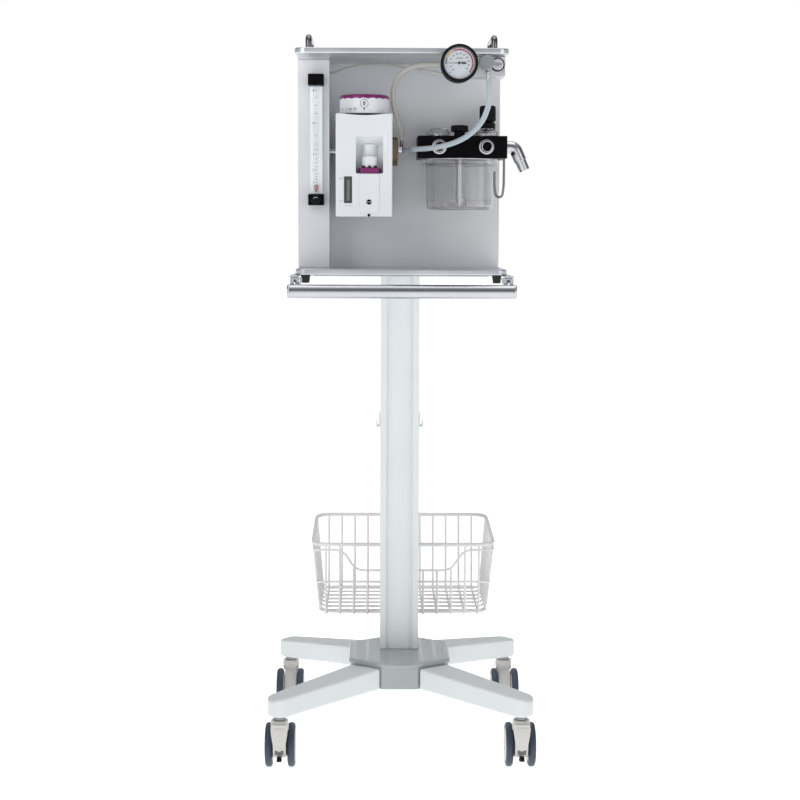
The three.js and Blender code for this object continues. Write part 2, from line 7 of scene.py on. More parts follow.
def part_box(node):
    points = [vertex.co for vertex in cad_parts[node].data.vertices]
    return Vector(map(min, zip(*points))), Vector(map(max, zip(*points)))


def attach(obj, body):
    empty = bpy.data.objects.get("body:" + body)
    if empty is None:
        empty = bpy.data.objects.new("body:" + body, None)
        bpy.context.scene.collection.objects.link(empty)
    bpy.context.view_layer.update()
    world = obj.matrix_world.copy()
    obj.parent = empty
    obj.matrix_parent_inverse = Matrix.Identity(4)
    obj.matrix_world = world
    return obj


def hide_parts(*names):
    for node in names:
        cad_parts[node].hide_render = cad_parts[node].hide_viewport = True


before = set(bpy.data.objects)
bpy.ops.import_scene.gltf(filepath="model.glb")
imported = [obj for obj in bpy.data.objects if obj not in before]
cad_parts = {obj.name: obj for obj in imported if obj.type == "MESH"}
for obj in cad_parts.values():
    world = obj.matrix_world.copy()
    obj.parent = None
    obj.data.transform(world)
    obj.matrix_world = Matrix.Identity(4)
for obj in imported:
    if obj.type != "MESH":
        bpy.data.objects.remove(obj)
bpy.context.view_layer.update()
print("frame loaded:", len(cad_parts), "nodes")


# ---- places ----
def middleOf(node):
    low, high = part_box(node)
    return (low + high) / 2


hubY = middleOf("base_hub").y


def at(x, y, z):
    # millimetres, with y counted from the middle of the hub
    return Vector((x / 1000, hubY + y / 1000, z / 1000))


front = Vector((0, -1, 0))
back = Vector((0, 1, 0))
up = Vector((0, 0, 1))
right = Vector((1, 0, 0))
corners = ["front_left", "front_right", "back_left", "back_right"]

# ---- camera ----
camera = {"place": at(-54.5, -3557, 1088), "pitch": -5.96, "roll": -0.2, "turn": -0.861, "lens": 77.1,
          "film": 36}
bpy.ops.object.camera_add(location=camera["place"])
cameraObject = bpy.context.object
cameraObject.rotation_euler = (math.radians(90 + camera["pitch"]), math.radians(camera["roll"]),
                               math.radians(camera["turn"]))
cameraObject.data.lens = camera["lens"]
cameraObject.data.sensor_width = camera["film"]
cameraObject.data.clip_end = 60
bpy.context.scene.camera = cameraObject
print("camera set")


# ---- modelling helpers ----
def deselectAll():
    if bpy.context.object and bpy.context.object.mode != 'OBJECT':
        bpy.ops.object.mode_set(mode='OBJECT')
    bpy.ops.object.select_all(action='DESELECT')


def pick(*pieces):
    deselectAll()
    for piece in pieces:
        piece.select_set(True)
    bpy.context.view_layer.objects.active = pieces[0]


def settle(piece):
    pick(piece)
    bpy.ops.object.transform_apply(location=True, rotation=True, scale=True)
    return piece


def modify(piece, kind, **settings):
    pick(piece)
    modifier = piece.modifiers.new(kind.lower(), kind)
    for key, value in settings.items():
        setattr(modifier, key, value)
    bpy.ops.object.modifier_apply(modifier=modifier.name)
    return piece


def roundEdges(piece, width, segments=3, angle=35):
    modify(piece, 'BEVEL', width=width / 1000, segments=segments, limit_method='ANGLE',
           angle_limit=math.radians(angle), use_clamp_overlap=True)
    return piece


def smooth(piece, angle=38):
    pick(piece)
    bpy.ops.object.shade_smooth_by_angle(angle=math.radians(angle))
    # flat faces stay flat beside their rounded edges
    return modify(piece, 'WEIGHTED_NORMAL', keep_sharp=True)


def faceOutwards(piece):
    pick(piece)
    bpy.ops.object.mode_set(mode='EDIT')
    bpy.ops.mesh.select_all(action='SELECT')
    bpy.ops.mesh.remove_doubles(threshold=0.000004)
    bpy.ops.mesh.normals_make_consistent(inside=False)
    bpy.ops.object.mode_set(mode='OBJECT')
    return piece


def joinPieces(name, pieces):
    pick(*pieces)
    if len(pieces) > 1:
        bpy.ops.object.join()
    joined = bpy.context.object
    joined.name = name
    joined.data.name = name
    return joined


def moveMesh(piece, matrix):
    piece.data.transform(matrix)
    return piece


def copyPiece(piece, name, matrix=None):
    twin = piece.copy()
    twin.data = piece.data.copy()
    twin.name = name
    bpy.context.scene.collection.objects.link(twin)
    if matrix is not None:
        twin.data.transform(matrix)
    return twin


def cutAway(piece, *cutters):
    for cutter in cutters:
        modify(piece, 'BOOLEAN', object=cutter, operation='DIFFERENCE', solver='EXACT')
        bpy.data.objects.remove(cutter)
    return piece


def makeBlock(name, low, high, edge=1, segments=3):
    deselectAll()
    bpy.ops.mesh.primitive_cube_add(size=1, location=(low + high) / 2, scale=high - low)
    piece = bpy.context.object
    piece.name = name
    settle(piece)
    if edge:
        roundEdges(piece, edge, segments)
    return smooth(piece)


# rings of a turned piece are extruded and resized one after another, from one end to the other;
# a hollow piece has no end faces, because its last ring comes back to the first
def turnPiece(name, profile, place=Vector((0, 0, 0)), along=up, sides=64, edge=0.0, segments=2, hollow=False):
    deselectAll()
    radius, height = profile[0]
    if hollow:
        profile = [*profile, profile[0]]
    bpy.ops.mesh.primitive_circle_add(vertices=sides, radius=radius / 1000,
                                      fill_type='NOTHING' if hollow else 'NGON',
                                      location=(0, 0, height / 1000))
    piece = bpy.context.object
    piece.name = name
    bpy.ops.object.transform_apply(location=True)
    bpy.ops.object.mode_set(mode='EDIT')
    bpy.ops.mesh.select_all(action='SELECT')
    for nextRadius, nextHeight in profile[1:]:
        step = (0, 0, (nextHeight - height) / 1000)
        bpy.ops.mesh.extrude_region_move(TRANSFORM_OT_translate={"value": step})
        share = nextRadius / radius
        bpy.ops.transform.resize(value=(share, share, 1), center_override=(0, 0, 0))
        radius, height = nextRadius, nextHeight
    bpy.ops.object.mode_set(mode='OBJECT')
    faceOutwards(piece)
    if edge:
        roundEdges(piece, edge, segments, 30)
    piece.rotation_euler = up.rotation_difference(Vector(along)).to_euler()
    piece.location = place
    settle(piece)
    return smooth(piece)


# a flat outline pushed along one axis: its two numbers are the other two axes, in order
def pushOutline(name, outline, axis, low, high, edge=0.0, segments=3):
    deselectAll()
    bpy.ops.mesh.primitive_circle_add(vertices=len(outline), radius=0.01, fill_type='NGON')
    piece = bpy.context.object
    piece.name = name
    for vertex, (first, second) in zip(piece.data.vertices, outline):
        place = {"x": (low, first, second), "y": (first, low, second), "z": (first, second, low)}[axis]
        vertex.co = at(*place)
    step = {"x": right, "y": back, "z": up}[axis] * (high - low) / 1000
    bpy.ops.object.mode_set(mode='EDIT')
    bpy.ops.mesh.select_all(action='SELECT')
    bpy.ops.mesh.extrude_region_move(TRANSFORM_OT_translate={"value": tuple(step)})
    bpy.ops.object.mode_set(mode='OBJECT')
    faceOutwards(piece)
    if edge:
        roundEdges(piece, edge, segments)
    return smooth(piece)


def copyNode(node, name, edge=1.0, segments=3, angle=32):
    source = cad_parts[node]
    piece = bpy.data.objects.new(name, source.data.copy())
    bpy.context.scene.collection.objects.link(piece)
    pick(piece)
    bpy.ops.mesh.customdata_custom_splitnormals_clear()
    bpy.ops.object.mode_set(mode='EDIT')
    bpy.ops.mesh.select_all(action='SELECT')
    bpy.ops.mesh.remove_doubles(threshold=0.00002)
    bpy.ops.mesh.dissolve_limited(angle_limit=math.radians(1.5))
    bpy.ops.object.mode_set(mode='OBJECT')
    if edge:
        roundEdges(piece, edge, segments, angle)
    return smooth(piece)


def filletPath(points, radius, closed=False, steps=6):
    # straight runs with their corners rounded
    path = []
    count = len(points)
    for index, point in enumerate(points):
        isEnd = not closed and index in (0, count - 1)
        if isEnd:
            path.append(Vector(point))
            continue
        before = (Vector(points[index - 1]) - Vector(point))
        after = (Vector(points[(index + 1) % count]) - Vector(point))
        reach = min(radius / 1000, before.length * 0.49, after.length * 0.49)
        start = Vector(point) + before.normalized() * reach
        end = Vector(point) + after.normalized() * reach
        for step in range(steps + 1):
            share = step / steps
            path.append((1 - share) ** 2 * start + 2 * share * (1 - share) * Vector(point) + share ** 2 * end)
    return path


def makeCurve(name, points, radius, closed=False, roundness=3, kind='POLY'):
    deselectAll()
    bpy.ops.curve.primitive_bezier_curve_add()
    curve = bpy.context.object
    curve.name = name
    curve.data.splines.clear()
    spline = curve.data.splines.new(kind)
    if kind == 'BEZIER':
        spline.bezier_points.add(len(points) - 1)
        for knot, point in zip(spline.bezier_points, points):
            knot.co = point
            knot.handle_left_type = knot.handle_right_type = 'AUTO'
    else:
        spline.points.add(len(points) - 1)
        for knot, point in zip(spline.points, points):
            knot.co = (*point, 1)
    spline.use_cyclic_u = closed
    curve.data.dimensions = '3D'
    curve.data.bevel_depth = radius / 1000
    curve.data.bevel_resolution = roundness
    curve.data.use_fill_caps = True
    return curve


def makeWire(name, points, radius, closed=False, roundness=3):
    curve = makeCurve(name, points, radius, closed, roundness)
    pick(curve)
    bpy.ops.object.convert(target='MESH')
    wire = bpy.context.object
    faceOutwards(wire)
    return smooth(wire, 50)


def makeText(name, words, size, place, facing=front, thick=0.05, weight=0.0):
    deselectAll()
    bpy.ops.object.text_add()
    label = bpy.context.object
    label.name = name
    label.data.body = words
    label.data.size = size / 1000
    label.data.extrude = thick / 1000
    label.data.offset = weight / 1000
    label.data.resolution_u = 3
    label.data.align_x = 'CENTER'
    label.data.align_y = 'CENTER'
    bpy.ops.object.convert(target='MESH')
    label = bpy.context.object
    label.rotation_euler = (math.radians(90), 0, math.atan2(facing[0], -facing[1]))
    label.location = place
    return settle(label)


def ripple(piece, axisPoint, axis, count, depth, fromRadius, sharp=1.0):
    # moves the outer skin in and out around an axis, for flutes and knurls
    axis = Vector(axis).normalized()
    side = axis.orthogonal().normalized()
    other = axis.cross(side)
    for vertex in piece.data.vertices:
        offset = vertex.co - axisPoint
        flat = offset - axis * offset.dot(axis)
        if flat.length * 1000 > fromRadius:
            turn = math.atan2(flat.dot(other), flat.dot(side))
            wave = (0.5 + 0.5 * math.cos(count * turn)) ** sharp
            vertex.co -= flat.normalized() * wave * depth / 1000
    return piece


def around(piece, name, centre, axis, angles):
    # copies of one small piece set around an axis and joined
    copies = []
    for index, angle in enumerate(angles):
        turn = Matrix.Translation(centre) @ Matrix.Rotation(math.radians(angle), 4, Vector(axis))
        copies.append(copyPiece(piece, f"{name}{index}", turn @ Matrix.Translation(-centre)))
    bpy.data.objects.remove(piece)
    return joinPieces(name, copies)


# ---- node groups ----
def startGroup(name, inputs, outputs):
    group = bpy.data.node_groups.new(name, 'ShaderNodeTree')
    for label, kind, default in inputs:
        socket = group.interface.new_socket(name=label, in_out='INPUT', socket_type=kind)
        socket.default_value = default
    for label, kind in outputs:
        group.interface.new_socket(name=label, in_out='OUTPUT', socket_type=kind)
    return group, group.nodes.new('NodeGroupInput'), group.nodes.new('NodeGroupOutput')


def grainGroup():
    inputs = [("Stretch", 'NodeSocketVector', (1, 1, 1)), ("Scale", 'NodeSocketFloat', 900.0),
              ("Depth", 'NodeSocketFloat', 0.1), ("Roughness", 'NodeSocketFloat', 0.4),
              ("Spread", 'NodeSocketFloat', 0.1)]
    group, given, result = startGroup("surfaceGrain", inputs,
                                      [("Roughness", 'NodeSocketFloat'), ("Normal", 'NodeSocketVector')])
    nodes, links = group.nodes, group.links
    coordinates = nodes.new('ShaderNodeTexCoord')
    stretch = nodes.new('ShaderNodeVectorMath')
    stretch.operation = 'MULTIPLY'
    links.new(coordinates.outputs["Object"], stretch.inputs[0])
    links.new(given.outputs["Stretch"], stretch.inputs[1])
    fine = nodes.new('ShaderNodeTexNoise')
    fine.inputs["Detail"].default_value = 3
    links.new(stretch.outputs[0], fine.inputs["Vector"])
    links.new(given.outputs["Scale"], fine.inputs["Scale"])
    broad = nodes.new('ShaderNodeTexNoise')
    broad.inputs["Scale"].default_value = 9
    links.new(coordinates.outputs["Object"], broad.inputs["Vector"])
    blend = nodes.new('ShaderNodeMath')
    blend.operation = 'ADD'
    links.new(fine.outputs["Fac"], blend.inputs[0])
    links.new(broad.outputs["Fac"], blend.inputs[1])
    centre = nodes.new('ShaderNodeMath')
    centre.operation = 'SUBTRACT'
    centre.inputs[1].default_value = 1
    links.new(blend.outputs[0], centre.inputs[0])
    spread = nodes.new('ShaderNodeMath')
    spread.operation = 'MULTIPLY_ADD'
    spread.use_clamp = True
    links.new(centre.outputs[0], spread.inputs[0])
    links.new(given.outputs["Spread"], spread.inputs[1])
    links.new(given.outputs["Roughness"], spread.inputs[2])
    links.new(spread.outputs[0], result.inputs["Roughness"])
    bump = nodes.new('ShaderNodeBump')
    bump.inputs["Distance"].default_value = 0.0002
    links.new(given.outputs["Depth"], bump.inputs["Strength"])
    links.new(fine.outputs["Fac"], bump.inputs["Height"])
    links.new(bump.outputs["Normal"], result.inputs["Normal"])
    return group


def driftGroup():
    inputs = [("Colour", 'NodeSocketColor', (0.8, 0.8, 0.8, 1)), ("Second", 'NodeSocketColor',
                                                                  (0.7, 0.7, 0.7, 1)),
              ("Scale", 'NodeSocketFloat', 6.0)]
    group, given, result = startGroup("colourDrift", inputs, [("Colour", 'NodeSocketColor')])
    nodes, links = group.nodes, group.links
    coordinates = nodes.new('ShaderNodeTexCoord')
    noise = nodes.new('ShaderNodeTexNoise')
    noise.inputs["Detail"].default_value = 2
    links.new(coordinates.outputs["Object"], noise.inputs["Vector"])
    links.new(given.outputs["Scale"], noise.inputs["Scale"])
    ramp = nodes.new('ShaderNodeMapRange')
    ramp.inputs["From Min"].default_value = 0.35
    ramp.inputs["From Max"].default_value = 0.65
    links.new(noise.outputs["Fac"], ramp.inputs["Value"])
    mix = nodes.new('ShaderNodeMix')
    mix.data_type = 'RGBA'
    links.new(ramp.outputs[0], mix.inputs["Factor"])
    links.new(given.outputs["Colour"], mix.inputs[6])
    links.new(given.outputs["Second"], mix.inputs[7])
    links.new(mix.outputs[2], result.inputs["Colour"])
    return group


def wearGroup():
    inputs = [("Colour", 'NodeSocketColor', (0.8, 0.8, 0.8, 1)), ("Worn", 'NodeSocketColor',
                                                                  (0.9, 0.9, 0.9, 1)),
              ("Amount", 'NodeSocketFloat', 0.3)]
    group, given, result = startGroup("edgeWear", inputs, [("Colour", 'NodeSocketColor')])
    nodes, links = group.nodes, group.links
    geometry = nodes.new('ShaderNodeNewGeometry')
    edges = nodes.new('ShaderNodeMapRange')
    edges.inputs["From Min"].default_value = 0.52
    edges.inputs["From Max"].default_value = 0.6
    links.new(geometry.outputs["Pointiness"], edges.inputs["Value"])
    coordinates = nodes.new('ShaderNodeTexCoord')
    noise = nodes.new('ShaderNodeTexNoise')
    noise.inputs["Scale"].default_value = 120
    links.new(coordinates.outputs["Object"], noise.inputs["Vector"])
    patchy = nodes.new('ShaderNodeMath')
    patchy.operation = 'MULTIPLY'
    links.new(edges.outputs[0], patchy.inputs[0])
    links.new(noise.outputs["Fac"], patchy.inputs[1])
    amount = nodes.new('ShaderNodeMath')
    amount.operation = 'MULTIPLY'
    links.new(patchy.outputs[0], amount.inputs[0])
    links.new(given.outputs["Amount"], amount.inputs[1])
    mix = nodes.new('ShaderNodeMix')
    mix.data_type = 'RGBA'
    links.new(amount.outputs[0], mix.inputs["Factor"])
    links.new(given.outputs["Colour"], mix.inputs[6])
    links.new(given.outputs["Worn"], mix.inputs[7])
    links.new(mix.outputs[2], result.inputs["Colour"])
    return group


groups = {"grain": grainGroup(), "drift": driftGroup(), "wear": wearGroup()}
print("node groups built")


def makeFinish(name, colour, second=None, drift=6.0, roughness=0.4, spread=0.1, metallic=0.0, grain=900.0,
               stretch=(1, 1, 1), depth=0.1, wear=0.3, worn=None, coat=0.0, transmission=0.0, ior=1.45,
               alpha=1.0, specular=0.5, glow=0.0):
    material = bpy.data.materials.new(name)
    material.use_nodes = True
    nodes, links = material.node_tree.nodes, material.node_tree.links
    shader = nodes["Principled BSDF"]
    second = second or tuple(0.9 * part for part in colour)
    worn = worn or tuple(min(1.0, 1.25 * part + 0.02) for part in colour)
    driftNode = nodes.new('ShaderNodeGroup')
    driftNode.node_tree = groups["drift"]
    driftNode.inputs["Colour"].default_value = (*colour, 1)
    driftNode.inputs["Second"].default_value = (*second, 1)
    driftNode.inputs["Scale"].default_value = drift
    wearNode = nodes.new('ShaderNodeGroup')
    wearNode.node_tree = groups["wear"]
    wearNode.inputs["Worn"].default_value = (*worn, 1)
    wearNode.inputs["Amount"].default_value = wear
    links.new(driftNode.outputs["Colour"], wearNode.inputs["Colour"])
    links.new(wearNode.outputs["Colour"], shader.inputs["Base Color"])
    grainNode = nodes.new('ShaderNodeGroup')
    grainNode.node_tree = groups["grain"]
    for key, value in {"Stretch": stretch, "Scale": grain, "Depth": depth, "Roughness": roughness,
                       "Spread": spread}.items():
        grainNode.inputs[key].default_value = value
    links.new(grainNode.outputs["Roughness"], shader.inputs["Roughness"])
    links.new(grainNode.outputs["Normal"], shader.inputs["Normal"])
    shader.inputs["Metallic"].default_value = metallic
    shader.inputs["Coat Weight"].default_value = coat
    shader.inputs["Coat Roughness"].default_value = 0.12
    shader.inputs["Transmission Weight"].default_value = transmission
    shader.inputs["IOR"].default_value = ior
    shader.inputs["Alpha"].default_value = alpha
    shader.inputs["Specular IOR Level"].default_value = specular
    # glow makes a finish give off light in its own colour: painted light, used only by the scale strip
    shader.inputs["Emission Color"].default_value = (*colour, 1)
    shader.inputs["Emission Strength"].default_value = glow
    return material


finishes = {
    "white_paint": makeFinish("whitePaint", (0.80, 0.835, 0.845), roughness=0.38, coat=0.15, depth=0.05,
                              second=(0.77, 0.805, 0.815), grain=700),
    "hub_grey": makeFinish("hubGrey", (0.38, 0.425, 0.43), roughness=0.2, coat=1.0, depth=0.03, grain=500),
    "basket_enamel": makeFinish("basketEnamel", (0.84, 0.84, 0.82), roughness=0.3, coat=0.2, depth=0.04),
    "caster_plastic": makeFinish("casterPlastic", (0.72, 0.70, 0.67), roughness=0.42, depth=0.08, grain=1400),
    "caster_tyre": makeFinish("casterTyre", (0.050, 0.072, 0.105), roughness=0.42, spread=0.15, depth=0.12,
                              second=(0.04, 0.058, 0.085), grain=1200, wear=0.15),
    "caster_core": makeFinish("casterCore", (0.17, 0.17, 0.17), roughness=0.45, depth=0.08, grain=1400),
    "black_plastic": makeFinish("blackPlastic", (0.004, 0.004, 0.005), roughness=0.42, depth=0.15, grain=1800,
                                second=(0.006, 0.006, 0.007), wear=0.15, specular=0.16),
    "white_plastic": makeFinish("whitePlastic", (0.82, 0.84, 0.85), roughness=0.35, depth=0.05, grain=1500),
    "satin_aluminium": makeFinish("satinAluminium", (0.72, 0.74, 0.77), metallic=0.9, roughness=0.34,
                                  spread=0.12, stretch=(0.04, 1, 1), grain=2200, depth=0.12,
                                  second=(0.53, 0.55, 0.58)),
    "block_aluminium": makeFinish("blockAluminium", (0.72, 0.72, 0.73), metallic=0.6, roughness=0.36,
                                  spread=0.1, stretch=(0.05, 1, 1), grain=1800, depth=0.1),
    "panel_steel": makeFinish("panelSteel", (0.79, 0.81, 0.835), metallic=0.2, roughness=0.5, spread=0.08,
                              grain=1500, depth=0.35, second=(0.76, 0.78, 0.805)),
    "brushed_bar": makeFinish("brushedBar", (0.54, 0.55, 0.57), metallic=1, roughness=0.24, spread=0.06,
                              stretch=(0.02, 1, 1), grain=1800, depth=0.04),
    "bracket_steel": makeFinish("bracketSteel", (0.55, 0.57, 0.60), metallic=1, roughness=0.3, depth=0.1),
    "polished_steel": makeFinish("polishedSteel", (0.58, 0.59, 0.61), metallic=1, roughness=0.24, spread=0.08,
                                 depth=0.06, grain=1600),
    "matt_steel": makeFinish("mattSteel", (0.40, 0.43, 0.47), metallic=0.9, roughness=0.5, spread=0.1,
                             depth=0.5, grain=2600),
    "chrome": makeFinish("chrome", (0.46, 0.47, 0.49), metallic=1, roughness=0.1, spread=0.05, depth=0.02),
    "dark_chrome": makeFinish("darkChrome", (0.20, 0.205, 0.215), metallic=1, roughness=0.2, spread=0.05,
                              depth=0.02),
    "foot_rubber": makeFinish("footRubber", (0.012, 0.012, 0.012), roughness=0.7, depth=0.3, grain=1600),
    "black_anodised": makeFinish("blackAnodised", (0.002, 0.002, 0.0025), roughness=0.36, depth=0.08,
                                 grain=2200, second=(0.003, 0.003, 0.004), wear=0.06, worn=(0.12, 0.12, 0.12),
                                 specular=0.06),
    "clear_plastic": makeFinish("clearPlastic", (0.97, 0.96, 0.955), second=(0.94, 0.94, 0.94),
                                roughness=0.04, spread=0.04, depth=0.02, grain=200, transmission=1, ior=1.3,
                                alpha=0.6, wear=0.1),
    # the scale strip glows a little (glow 0.22): painted light that keeps it brighter than the lamps make it
    # behind the sleeve
    "glowing_scale_white": makeFinish("glowingScaleWhite", (0.90, 0.93, 0.95), roughness=0.4, depth=0.02, wear=0.0,
                              glow=0.22),
    "sleeve_clear": makeFinish("sleeveClear", (0.80, 0.87, 0.93), roughness=0.08, spread=0.04, depth=0.02,
                               grain=200, alpha=0.16, coat=0.5, wear=0.1),
    "red_plastic": makeFinish("redPlastic", (0.42, 0.03, 0.02), roughness=0.3, depth=0.04, coat=0.4),
    "vaporizer_paint": makeFinish("vaporizerPaint", (0.79, 0.82, 0.845), roughness=0.36, coat=0.15,
                                  depth=0.06, second=(0.765, 0.795, 0.82), grain=900),
    "dial_plastic": makeFinish("dialPlastic", (0.80, 0.815, 0.84), roughness=0.33, coat=0.2, depth=0.05),
    "purple_plastic": makeFinish("purplePlastic", (0.20, 0.012, 0.13), roughness=0.35, coat=0.2, depth=0.05,
                                 second=(0.17, 0.010, 0.11)),
    "bronze_paint": makeFinish("bronzePaint", (0.20, 0.145, 0.10), roughness=0.45, metallic=0.3, depth=0.1),
    "gauge_case": makeFinish("gaugeCase", (0.004, 0.004, 0.005), roughness=0.42, depth=0.12, specular=0.16),
    "gauge_face": makeFinish("gaugeFace", (0.62, 0.66, 0.72), roughness=0.5, depth=0.02, wear=0.0),
    "gauge_glass": makeFinish("gaugeGlass", (0.9, 0.92, 0.95), roughness=0.03, alpha=0.05, depth=0.0,
                              coat=0.2),
    "needle_paint": makeFinish("needlePaint", (0.01, 0.01, 0.01), roughness=0.45, depth=0.05),
    "ink": makeFinish("ink", (0.02, 0.02, 0.025), roughness=0.5, depth=0.0, wear=0.0),
    "greyInk": makeFinish("greyInk", (0.20, 0.21, 0.23), roughness=0.5, depth=0.0, wear=0.0),
    "greenInk": makeFinish("greenInk", (0.02, 0.16, 0.07), roughness=0.5, depth=0.0, wear=0.0),
    "yellowInk": makeFinish("yellowInk", (0.58, 0.44, 0.06), roughness=0.5, depth=0.0, wear=0.0),
    "redInk": makeFinish("redInk", (0.38, 0.02, 0.04), roughness=0.5, depth=0.0, wear=0.0),
    "hose_clear": makeFinish("hoseClear", (0.68, 0.75, 0.80), second=(0.62, 0.69, 0.75), roughness=0.16,
                             spread=0.05, depth=0.03, transmission=0.45, ior=1.35, coat=0.3),
    "hose_milky": makeFinish("hoseMilky", (0.70, 0.69, 0.65), second=(0.64, 0.63, 0.59), roughness=0.25,
                             spread=0.05, depth=0.03, transmission=0.35, ior=1.35, coat=0.2),
}
print("finishes built:", len(finishes))


def finishPiece(piece, body, finish, slot=None, nodes=()):
    piece.data.materials.clear()
    piece.data.materials.append(finishes[finish])
    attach(piece, body)
    if nodes:
        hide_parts(*nodes)
    return piece


# ---- hoses ----
hoses = {
    "outlet": {"radius": 5.4, "finish": "hose_clear", "route": [
        (171.7, -115, 1369.9), (173.4, -115, 1356), (174.5, -114, 1340), (173, -112, 1322),
        (168.5, -109, 1305), (161, -105, 1288), (150, -101, 1273.5), (136, -98, 1261), (119, -95, 1250.5),
        (101, -91, 1243), (82, -85, 1238), (64, -76, 1235), (48, -62, 1233.7), (35, -46, 1233.6),
        (27, -30, 1234), (22.5, -14, 1234), (19.4, -4.5, 1234), (17.3, -0.3, 1234), (15.6, 1.2, 1234)]},
    "tee_riser": {"radius": 5.5, "finish": "hose_milky", "route": [
        (1.8, 15, 1256.4), (1, 15, 1268), (-3, 14, 1284), (-8.5, 12, 1302), (-14, 8, 1322), (-16.5, 3, 1342),
        (-14, -4, 1362), (-6, -12, 1379), (6, -20, 1391), (22, -27, 1399), (42, -33, 1403), (62, -37, 1403.5),
        (80, -40, 1402.5), (88, -40.6, 1402.2), (95.6, -41, 1402)]},
    "supply": {"radius": 2, "finish": "hose_milky", "route": [
        (-146.5, 62, 1394), (-140, 62, 1394.6), (-125, 59, 1400), (-108, 52, 1405.5), (-90, 45, 1408.5),
        (-70, 36, 1410), (-50, 26, 1409.5), (-30, 15, 1407.5), (-10, 4, 1404.5), (10, -6, 1400.5),
        (30, -14, 1396.5), (50, -20, 1392.5), (70, -24, 1389), (84, -26, 1387.2), (95.6, -27, 1386.5)]},
}


def curveLength(curve):
    evaluated = curve.evaluated_get(bpy.context.evaluated_depsgraph_get())
    bare = evaluated.data.copy()
    bare.bevel_depth = 0
    bare.use_fill_caps = False
    line = bpy.data.objects.new("line", bare)
    bpy.context.scene.collection.objects.link(line)
    mesh = line.to_mesh()
    total = sum((mesh.vertices[edge.vertices[0]].co - mesh.vertices[edge.vertices[1]].co).length
                for edge in mesh.edges)
    line.to_mesh_clear()
    bpy.data.objects.remove(line)
    return total


def makeHoses():
    for name, settings in hoses.items():
        points = [at(*point) for point in settings["route"]]
        hose = makeCurve(f"hose_{name}_tube", points, settings["radius"], roundness=6, kind='BEZIER')
        hose.data.resolution_u = 8
        finishPiece(hose, "machine", settings["finish"], settings["finish"], [f"hose_{name}"])
        length = curveLength(hose)
        print("hose", name, round(length, 4))
        tuple(points[0])


makeHoses()
print("hoses made")


# ---- trolley ----
caster = {"stemX": 240, "stemY": 237, "radius": 44, "width": 17, "spacing": 45, "trail": 28,
          "axle": 44}


def cornerMatrix(corner):
    # a caster is modelled with its outward side at -y and its stem on the axis
    signX = -1 if "left" in corner else 1
    signY = -1 if "front" in corner else 1
    turn = Matrix.Rotation(0 if signY < 0 else math.pi, 4, 'Z')
    return Matrix.Translation(at(signX * caster["stemX"], signY * caster["stemY"], 0)) @ turn


def local(x, y, z):
    return Vector((x / 1000, y / 1000, z / 1000))


def modelWheel():
    half = caster["width"] / 2
    radius = caster["radius"]
    tyre = turnPiece("tyre", [(32, -half + 1.4), (37, -half + 0.9), (40.5, -half + 1.6), (42.8, -half + 3.4),
                              (radius - 0.1, -half + 6), (radius, 0), (radius - 0.1, half - 6),
                              (42.8, half - 3.4), (40.5, half - 1.6), (37, half - 0.9), (32, half - 1.4)],
                     along=right, sides=72, edge=0.4)
    cover = turnPiece("cover", [(6, -half + 2.6), (10, -half + 2.2), (11.5, -half), (30, -half + 0.2),
                                (33.6, -half + 1.2), (34, -half + 3), (34, half - 3), (33.6, half - 1.2),
                                (30, half - 0.2), (11.5, half), (10, half - 2.2), (6, half - 2.6)],
                      along=right, sides=56, edge=0.4)
    cap = turnPiece("cap", [(4, -half + 0.6), (7, -half + 1.4), (7.5, -half + 2.6), (7.5, half - 2.6),
                            (7, half - 1.4), (4, half - 0.6)], along=right, sides=32, edge=0.3)
    return tyre, cover, cap


def makeCasters():
    tyre, cover, cap = modelWheel()
    collar = turnPiece("collar", [(15, 83.6), (17.8, 84.6), (17.9, 88), (17.2, 88.5), (17.2, 89.4),
                                  (17.9, 90), (17.9, 96), (17.2, 96.6), (17.2, 97.6), (17.8, 98.2),
                                  (17.2, 101.4), (14, 102.9)], sides=56, edge=0.3)
    stem = turnPiece("stem", [(11, 102.9), (12, 103.2), (12, 105.4), (9.8, 105.8), (9.8, 106.8), (12, 107.2),
                              (12, 109.2), (11, 109.6), (11, 113)], sides=36, edge=0.2)
    for corner in corners:
        place = cornerMatrix(corner)
        housing = copyNode(f"caster_housing_{corner}", f"caster_body_{corner}", 1.4, 3, 40)
        finishPiece(housing, f"caster_{corner}", "caster_plastic", "caster_plastic",
                    [f"caster_housing_{corner}"])
        finishPiece(copyPiece(collar, f"caster_collar_{corner}", place), f"caster_{corner}", "caster_plastic",
                    "caster_plastic")
        finishPiece(copyPiece(stem, f"caster_stem_{corner}", place), "machine", "dark_chrome", "chrome")
        shield = modelShield(f"caster_shield_{corner}")
        finishPiece(moveMesh(shield, place), f"caster_{corner}", "caster_plastic", "caster_plastic")
        clip = makeBlock(f"caster_clip_{corner}", local(-8.4, -26, 38.4), local(8.4, -23.8, 47.4), 0.8)
        finishPiece(moveMesh(clip, place), f"caster_{corner}", "caster_core", "caster_plastic")
        makeWheelPair(corner, place, tyre, cover, cap)
        if "front" in corner:
            pedal = copyNode(f"brake_pedal_{corner}", f"brake_lever_{corner}", 1.0, 3)
            finishPiece(pedal, f"pedal_{corner}", "black_plastic", "black_plastic", [f"brake_pedal_{corner}"])
    for piece in (tyre, cover, cap, collar, stem):
        bpy.data.objects.remove(piece)


# the hood's front in rows of height, half width and depth: it bows out and draws in to a round end
shieldRows = [(44.6, 6.4, -25.4), (45.4, 8, -26), (48, 9.8, -26.4), (52, 11.3, -26.8), (58, 12.5, -27.2),
              (66, 13.9, -27.5), (75, 15.4, -27.4), (84, 16.6, -27), (90, 17, -26.4), (93, 17, -25.4)]


